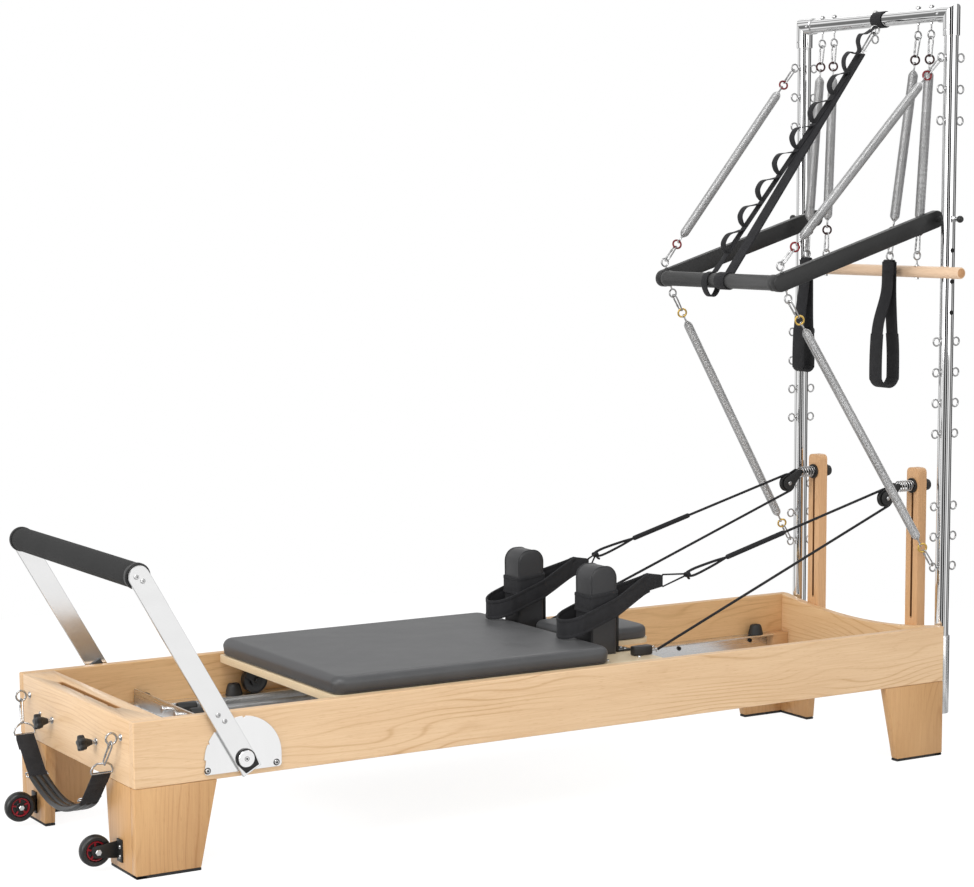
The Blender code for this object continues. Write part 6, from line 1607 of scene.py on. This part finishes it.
rope_braid = braid("rope_braid", 1500.0)
sleeve_braid = braid("rope_sleeve_braid", 2100.0)
for side, sign in NEAR_FAR:
    cleat = Vector((1.4565, sign * CLEAT_Y, DECK_TOP + 0.01))
    knot = Vector((KNOT[0], sign * KNOT[1], KNOT[2]))
    low = touch_angle((cleat.x, cleat.z), True) % 360
    high = touch_angle((knot.x, knot.z), False) % 360 + 360
    round_wheel = [Vector((x, sign * RISER_Y, z)) for x, z in arc(PULLEY, WRAP, low, high, 20)]
    eye_start = round_wheel[-1].lerp(knot, 0.81)
    up = Vector(UP)
    strand = [eye_start, eye_start.lerp(knot, 0.35) + up * 0.0045, eye_start.lerp(knot, 0.8) + up * 0.0075,
              knot + up * 0.006]
    back = [eye_start, eye_start.lerp(knot, 0.35) - up * 0.006, eye_start.lerp(knot, 0.8) - up * 0.01,
            knot - up * 0.0055]
    join_low = cleat.lerp(round_wheel[0], (JOIN[0] - cleat.x) / (round_wheel[0].x - cleat.x))
    join_high = round_wheel[-1].lerp(eye_start,
                                     (JOIN[0] - round_wheel[-1].x) / (eye_start.x - round_wheel[-1].x))
    low_line = straight(cleat, join_low, 24)
    wheel_line = [*straight(join_low, round_wheel[0], 12), *round_wheel[1:-1],
                  *straight(round_wheel[-1], join_high, 12)]
    high_line = [*straight(join_high, eye_start, 12)[:-1], *eased(strand, 5)]
    low_piece = carriage_run(braided(low_line), f"{side}_rope_low_run", rope_braid, f"{side}_rope")
    wheel_piece = piece(f"{side}_rope_wheel_run", braided(wheel_line), rope_braid, None, "webbing")
    bent(wheel_piece)
    high_piece = carriage_run(braided(high_line), f"{side}_rope_high_run", rope_braid)
    eye_piece = carriage_run(braided(eased(back, 5), 0.0032, 10), f"{side}_rope_eye", rope_braid)
    cover = bmesh.new()
    sleeve_end = round_wheel[-1].lerp(knot, 0.52)
    heading = (sleeve_end - eye_start).normalized()
    span = (sleeve_end - eye_start).length
    lathe(cover, [(0.0036, 0.0), (0.0056, 0.001), (0.0066, 0.004), (0.0066, span - 0.004),
                  (0.0056, span - 0.001), (0.0036, span), (0.0036, 0.0)], eye_start, heading, 20)
    cover_piece = carriage_run(cover, f"{side}_rope_sleeve", sleeve_braid)
    tie = bmesh.new()
    ring(tie, knot + Vector((0.0018, 0, 0.0002)), 0.0056, 0.0034, heading, 20)
    ring(tie, knot - heading * 0.0045, 0.005, 0.0034, (heading + Vector((0, 0.6, 0.5))).normalized(), 20)
    ring(tie, knot + heading * 0.005, 0.0044, 0.003, (heading + Vector((0, -0.5, 0.3))).normalized(), 20)
    tail = [knot - up * 0.004, knot + Vector((0.004, sign * -0.004, -0.01)),
            knot + Vector((0.009, sign * -0.006, -0.013))]
    wire(tie, eased(tail, 4), 0.003, 10)
    tie_piece = carriage_run(tie, f"{side}_rope_knot", rope_braid)
    tab_end = Vector((TAB_X + 0.0441, sign * REST_Y, loop_z(TAB_X)))
    corners = [knot + up * 0.001, tab_end + Vector((0.003, 0, 0.0175)), tab_end + up * 0.014,
               tab_end - up * 0.01, tab_end + Vector((0.003, 0, -0.0135)), knot - up * 0.001]
    triangle_piece = carriage_run(braided(corners, 0.0024, 10), f"{side}_rope_triangle", rope_braid)


# Push bar: two flat arms of black aluminium on pivots at the posts, and a round cross
# tube between them with domed ends. Each arm has an eyebolt above and below.

PUSH_DROP = 0.1625
PUSH_REACH = 0.5185
PUSH_Y = 0.264
ARM_ROUND = 0.023
EYE_ABOVE = 0.041
EYE_BELOW = -0.048
push_length = math.hypot(PUSH_REACH, PUSH_DROP)
push_tilt = math.degrees(math.atan2(PUSH_DROP, PUSH_REACH))
along_push = Vector((-PUSH_REACH, 0.0, -PUSH_DROP)) / push_length
above_push = Vector((-PUSH_DROP, 0.0, PUSH_REACH)) / push_length
push_pivot = Vector((POST_X, 0.0, PIN_Z))
push_end = push_pivot + along_push * push_length
anodised = skin("anodised_black", 0.022, 0.032, 0.36, 0.46, 0.35, (0.4, 1.0, 0.4), 500.0)
tube_black = skin("cross_tube_black", 0.042, 0.058, 0.34, 0.44, 0.25, (1.0, 0.05, 1.0), 500.0)
frame_arms = bmesh.new()
for sign in (-1.0, 1.0):
    y = sign * PUSH_Y
    outline = arc((push_end.x, push_end.z), ARM_ROUND, 90 + push_tilt, 270 + push_tilt, 24)
    outline += arc((POST_X, PIN_Z), ARM_ROUND, -90 + push_tilt, 90 + push_tilt, 24)
    slab(frame_arms, outline, 0.022, side_plane(y), 0.003, 3)
    rod(frame_arms, (POST_X, y - sign * 0.014, PIN_Z),
        (POST_X, sign * (POST_Y - 0.0196), PIN_Z), 0.008, sides=24)
    cap = [(0.0, 0.0), (0.013, 0.0), (0.0125, 0.0022), (0.0, 0.003)]
    lathe(frame_arms, cap, (POST_X, y - sign * 0.0108, PIN_Z), (0, -sign, 0), 32)
piece("push_bar_arms", frame_arms, anodised, "push_bar", "black_aluminium", "push_bar")
cross = bmesh.new()
reach = PUSH_Y - 0.0112
profile = [(0.0, -reach), (0.0205, -reach), (0.0218, -reach + 0.002), (0.0218, -reach + 0.016),
           (0.02, -reach + 0.019)]
lathe(cross, two_sided(profile, closed=False), push_end, ACROSS, 48)
piece("push_bar_tube", cross, tube_black, "push_bar", "black_aluminium")
eyes = bmesh.new()
at = push_pivot + along_push * (push_length - 0.015)
for sign in (-1.0, 1.0):
    for offset in (EYE_ABOVE, EYE_BELOW):
        eye = at + above_push * offset + Vector((0, sign * PUSH_Y, 0))
        way = -above_push if offset > 0 else above_push
        eyebolt(eyes, eye, way, abs(offset) - EYE_RADIUS - ARM_ROUND + 0.0004)
piece("push_bar_eyes", eyes, eye_steel, "push_bar", "stainless")


# Pull pins: spring pins with a knurled steel collar and a black ball, in the posts' outer
# sides, which hold the push bar's pivots.

BALL = 0.0095
for side, sign in NEAR_FAR:
    face = sign * (POST_Y + POST_RADIUS + GAP)
    pin = bmesh.new()
    rod(pin, (POST_X, face - sign * 0.0095, PIN_Z), (POST_X, face + sign * 0.022, PIN_Z), 0.004, sides=20)
    nut(pin, (POST_X, face, PIN_Z), (POST_X, face + sign * 0.01, PIN_Z), 0.0075)
    piece(f"{side}_pin_stem", pin, steel, f"{side}_pull_pin", "stainless", f"{side}_pull_pin")
    ball = bmesh.new()
    profile = [(0.0, -BALL), *arc((0.0, 0.0), BALL, -78, 78, 14), (0.0, BALL)]
    lathe(ball, profile, (POST_X, face + sign * 0.028, PIN_Z), (0, sign, 0), 32)
    piece(f"{side}_pin_ball", ball, moulded, f"{side}_pull_pin", "black_plastic")


# Springs of the tower: close-wound steel springs with narrowed ends, a painted ring at
# each end, and snap hooks on the eyebolts. Four pull on the push bar. A spring whose
# lower end is on a bar that moves is left on no body.

RING_FACING = Vector((-0.45, -0.89, 0.0))


def spring_chain(label, upper, lower, radius, paint, body, *nodes, mover=None):
    """Make a spring with its rings and snap hooks between two seats; with a mover it goes on no body."""
    upper, lower = Vector(upper), Vector(lower)
    made = []
    down = (lower - upper).normalized()
    sideways = Vector(ACROSS)
    hooks = bmesh.new()
    body_coil = bmesh.new()
    for seat, heading, end in ((upper, down, "upper"), (lower, -down, "lower")):
        snap_hook(hooks, seat, seat + heading * 0.052, sideways)
        link = bmesh.new()
        ring(link, seat + heading * 0.0604, 0.0115, 0.0026,
             (RING_FACING - down * RING_FACING.dot(down)).normalized(), 32)
        made.append(piece(f"{label}_{end}_ring", link, paint, None if mover else body, "spring_steel"))
        shaft = seat + heading * 0.0735
        rod(hooks, shaft, seat + heading * 0.095, 0.0024, sides=12)
        ring(hooks, shaft - heading * 0.003, 0.004, 0.0014, sideways, 20)
    start, end = upper + down * 0.088, lower - down * 0.088
    wire(body_coil, coil_line(start, end, radius - 0.0015, 0.0031, 12, 5), 0.0015, 6)
    made.append(piece(f"{label}_coil", body_coil, spring_steel, None if mover else body, "spring_steel",
                      *nodes, smooth=80))
    made.append(piece(f"{label}_hooks", hooks, eye_steel, None if mover else body, "stainless", smooth=60))
    if mover:
        for part in made:
            bent(part)


red_ring = skin("ring_red", (0.15, 0.01, 0.014), (0.23, 0.018, 0.022), 0.28, 0.4, 0.3)
gold_ring = skin("ring_gold", (0.62, 0.4, 0.09), (0.78, 0.54, 0.15), 0.22, 0.34, 0.9)
dark_ring = skin("ring_dark", (0.03, 0.012, 0.012), (0.06, 0.02, 0.02), 0.28, 0.4, 0.4)


def seat_depth(radius, sides):
    """Distance from the centre of an eye or ring to a snap hook that hangs in it."""
    return radius * math.cos(math.pi / sides) - EYE_WIRE - HOOK_WIRE * math.cos(math.pi / 4) - 0.00035


HOOK_WIRE = 0.0022
SEAT = seat_depth(EYE_RADIUS, 6)
for side, sign in NEAR_FAR:
    for height, post_z, offset, paint in (("upper", POST_EYES[0], EYE_ABOVE, red_ring),
                                          ("lower", POST_EYES[-1], EYE_BELOW, gold_ring)):
        bar_eye = at + above_push * offset + Vector((0, sign * PUSH_Y, 0))
        post_eye = Vector((POST_X - 0.034, sign * POST_Y, post_z))
        pull = bar_eye - post_eye
        level = Vector((pull.x, 0, pull.z)).normalized() * SEAT
        spring_chain(f"{height}_{side}_spring", post_eye + level, bar_eye - level, 0.0125, paint, "frame",
                     f"{height}_{side}_push_spring", mover="push_bar")

ROLL_X = POST_X - 0.037
ROLL_Z = 1.304
ROLL_EYES = 0.043
top_seat_z = TOP_Z - EYE_DROP - SEAT
for side, top_y, bar_y in (("near", -0.236, -0.236), ("far", 0.182, 0.16)):
    spring_chain(f"{side}_bar_spring", (POST_X, top_y, top_seat_z),
                 (ROLL_X, bar_y, ROLL_Z + ROLL_EYES + SEAT), 0.0135, dark_ring, "frame",
                 f"{side}_roll_bar_spring", mover="roll_down_bar")


# Roll-down bar: a turned hardwood dowel with rounded ends and two eyebolts through it.

DOWEL_START = -0.4165
DOWEL_LENGTH = 0.66
DOWEL_RADIUS = 0.0155
dowel_wood = wood("dowel_beech", (0.84, 0.61, 0.42), (0.62, 0.39, 0.23), (0.0, 0.0, QUARTER),
                  (0.3, 0.1, 0.2), 0.22, 90.0)
dowel = bmesh.new()
half = DOWEL_LENGTH / 2
profile = [(0.0, -half), (0.0125, -half), (0.0146, -half + 0.0009), (DOWEL_RADIUS, -half + 0.003)]
lathe(dowel, two_sided(profile, closed=False), (ROLL_X, DOWEL_START + half, ROLL_Z), ACROSS, 48)
piece("roll_bar_dowel", dowel, dowel_wood, "roll_down_bar", "dowel_wood", "roll_down_bar")
end_grain = wood("dowel_end_grain", (0.56, 0.3, 0.14), (0.34, 0.16, 0.06), (0.0, QUARTER, 0.0),
                 (0.1, 0.2, 0.3), 0.4, 160.0)
caps = bmesh.new()
for y, way in ((DOWEL_START, -1.0), (DOWEL_START + DOWEL_LENGTH, 1.0)):
    lathe(caps, [(0.0, 0.0), (0.0124, 0.0), (0.0118, 0.0003), (0.0, 0.0003)], (ROLL_X, y, ROLL_Z),
          (0, way, 0), 40)
piece("roll_bar_end_grain", caps, end_grain, "roll_down_bar", "dowel_wood")
eyes = bmesh.new()
for y in (-0.236, 0.16):
    eyebolt(eyes, (ROLL_X, y, ROLL_Z + ROLL_EYES), (0, 0, -1), 0.0168)
    washer = [(0.0, 0.0), (0.0075, 0.0), (0.007, 0.0012), (0.0, 0.0014)]
    lathe(eyes, washer, (ROLL_X, y, ROLL_Z + 0.015), UP, 24)
    nut(eyes, (ROLL_X, y, ROLL_Z - 0.0148), (ROLL_X, y, ROLL_Z - 0.0205), 0.0055)
piece("roll_bar_eyes", eyes, eye_steel, "roll_down_bar", "stainless")


# Hand loops: webbing folded into a long loop under a steel ring, stitched at the neck,
# with a padded grip at the bottom. Each hangs on a spring from the top tube.

LOOP_X = POST_X - 0.078
RING_Z = 1.345
RING_RADIUS = 0.011
strap_pad_cloth = woven("strap_pad_cloth", (0.012, 0.012, 0.013), (0.03, 0.03, 0.032), 1800.0, 1800.0, 0.0002)
for side, y, top_y, swell in (("near", -0.171, -0.182, 1.0), ("far", 0.196, 0.236, 0.62)):
    body = f"{side}_hand_loop"
    centre = Vector((LOOP_X, y, RING_Z))
    seat_z = RING_Z + seat_depth(RING_RADIUS, 8)
    spring_chain(f"{side}_hand_spring", (POST_X, top_y, top_seat_z), (LOOP_X, y, seat_z), 0.0135,
                 dark_ring, body, f"{side}_loop_spring")
    top = RING_Z - 0.015
    neck = top - 0.03
    bottom = top - 0.309
    middle_x = LOOP_X - 0.014 * swell
    half = 0.03 * swell
    line = [(LOOP_X + 0.0042, top), (LOOP_X + 0.0042, neck), (LOOP_X + 0.0048, neck - 0.055),
            (middle_x + half * 0.78, neck - 0.135), (middle_x + half * 0.97, neck - 0.205)]
    line += arc((middle_x, bottom + 0.032 - half), half, 0, -180, 9)
    line += [(middle_x - half * 0.97, neck - 0.205), (middle_x - half * 0.74, neck - 0.135),
             (LOOP_X - 0.0105, neck - 0.055), (LOOP_X - 0.0065, neck), (LOOP_X - 0.0065, top)]
    route = eased([(x, y, z) for x, z in line], 5)
    band = bmesh.new()
    ribbon(band, route, ACROSS, 0.046, 0.003, 0.0006)
    fold = [Vector((LOOP_X + 0.0042, y, top))]
    for turn in range(20, 180, 20):
        u, v = math.cos(math.radians(turn)), math.sin(math.radians(turn))
        fold.append(Vector((LOOP_X - 0.0012 + 0.0054 * u, y, top + 0.0042 * v)))
    fold.append(Vector((LOOP_X - 0.0065, y, top)))
    ribbon(band, fold, ACROSS, 0.0375, 0.003, 0.0006)
    piece(f"{side}_hand_loop_band", band, webbing, body, "webbing", f"{side}_hand_loop")
    neck_wrap = bmesh.new()
    block(neck_wrap, (LOOP_X - 0.0062, y - 0.0185, neck - 0.004),
          (LOOP_X + 0.004, y + 0.0185, top - 0.001), 0.0012)
    piece(f"{side}_hand_loop_neck", neck_wrap, webbing, body, "webbing")
    grip = bmesh.new()
    grip_line = [point for point in route if point.z < neck - 0.15]
    ribbon(grip, grip_line, ACROSS, 0.0475, 0.0058, 0.0012)
    piece(f"{side}_hand_loop_grip", grip, strap_pad_cloth, body, "webbing")
    link = bmesh.new()
    ring(link, centre, RING_RADIUS, EYE_WIRE, ACROSS, 28)
    piece(f"{side}_hand_loop_ring", link, eye_steel, body, "stainless")
    tacks = bmesh.new()
    for z in (neck + 0.0015, neck + 0.023):
        for face in (-0.0084, 0.0062):
            stitches(tacks, [(LOOP_X + face, y - 0.016, z), (LOOP_X + face, y + 0.016, z)])
    piece(f"{side}_hand_loop_stitches", tacks, thread, body, "webbing")


# Stretch strap: a long black strap with a row of small foot loops sewn to it. Its upper
# end is buckled round the top tube and its lower end round the push bar's cross tube.

STRETCH_Y = -0.024
tube_top = Vector((POST_X, STRETCH_Y, TOP_Z))
tube_low = Vector((push_end.x, STRETCH_Y, push_end.z))
climb = (tube_top - tube_low).normalized()
outward = Vector((-climb.z, 0.0, climb.x))
strap = bmesh.new()
low_end = tube_low + climb * 0.024
high_end = tube_top - climb * 0.023
hang = low_end.lerp(high_end, 0.885)
ribbon(strap, straight(low_end, hang, 24), ACROSS, 0.04, 0.0056, 0.0012)
for centre, radius in ((tube_top, POST_RADIUS), (tube_low, 0.02)):
    hoop = [Vector((u, STRETCH_Y, v)) for u, v in arc((centre.x, centre.z), radius + 0.0022, 0, 360, 37)]
    ribbon(strap, hoop, ACROSS, 0.042, 0.0026, 0.0005)
strap_pieces = [piece("stretch_strap_band", strap, webbing, None, "webbing", "stretch_strap")]
buckle = bmesh.new()
ring_at = tube_top - climb * 0.034
ring(buckle, ring_at, 0.0115, 0.0024, RING_FACING, 28)
snap_hook(buckle, ring_at - climb * 0.009, hang + climb * 0.001, ACROSS)
piece("stretch_strap_hook", buckle, eye_steel, "frame", "stainless", smooth=60)

ladder = bmesh.new()
side_step = Vector((0, 0.064, 0))
foot_end = low_end + side_step


def rung(share, lift=0.0):
    """Point beside the main strap, on the line of its ladder of loops."""
    spread = min(1.0, max(0.0, (0.8 - share) / 0.8))
    return low_end.lerp(high_end, share) + side_step * spread + outward * (0.0042 + lift)


back = [rung(share / 20) for share in range(0, 17)]
ribbon(ladder, back, ACROSS, 0.024, 0.0018, 0.0004)
for share, lift in ((0.075, 0.029), (0.18, 0.033), (0.285, 0.033), (0.39, 0.036), (0.495, 0.036),
                    (0.6, 0.032), (0.715, 0.03)):
    waves = [rung(share, 0.0022), rung(share + 0.004, lift * 0.55), rung(share + 0.02, lift * 0.98),
             rung(share + 0.05, lift), rung(share + 0.074, lift * 0.45), rung(share + 0.092, 0.0022)]
    ribbon(ladder, eased(waves, 6), ACROSS, 0.023, 0.0016, 0.0004)
curl = [(0.8, 0.0), (0.812, 0.022), (0.834, 0.034), (0.862, 0.03), (0.874, 0.01), (0.893, 0.006),
        (0.912, 0.024), (0.936, 0.028), (0.955, 0.014)]
curl = [*(rung(share, lift) for share, lift in curl), tube_top - climb * 0.0235 + outward * 0.003]
ribbon(ladder, eased(curl, 6), (0.25, 1, 0.1), 0.026, 0.0022, 0.0004)
hanging = [(0.0, 0.0224), (0.016, 0.016), (0.0232, 0.0), (0.0215, -0.019), (0.012, -0.037), (0.0, -0.043)]
hanging += [(-x, z) for x, z in reversed(hanging) if x]
oval = eased([foot_end - climb * 0.024 + Vector((x, 0, z)) for x, z in hanging + hanging[:1]], 4)
ribbon(ladder, oval, ACROSS, 0.025, 0.002, 0.0004)
strap_pieces.append(piece("stretch_strap_loops", ladder, webbing, None, "webbing"))
tacks = bmesh.new()
for share in (0.03, 0.16, 0.29, 0.42, 0.55, 0.68, 0.8, 0.9):
    spot = low_end.lerp(high_end, share)
    for way in (-1, 1):
        side_spot = spot + outward * (way * 0.0029)
        stitches(tacks, [side_spot - Vector((0, 0.017, 0)), side_spot + Vector((0, 0.017, 0))])
strap_pieces.append(piece("stretch_strap_stitches", tacks, thread, None, "webbing"))
for part in strap_pieces:
    bent(part)
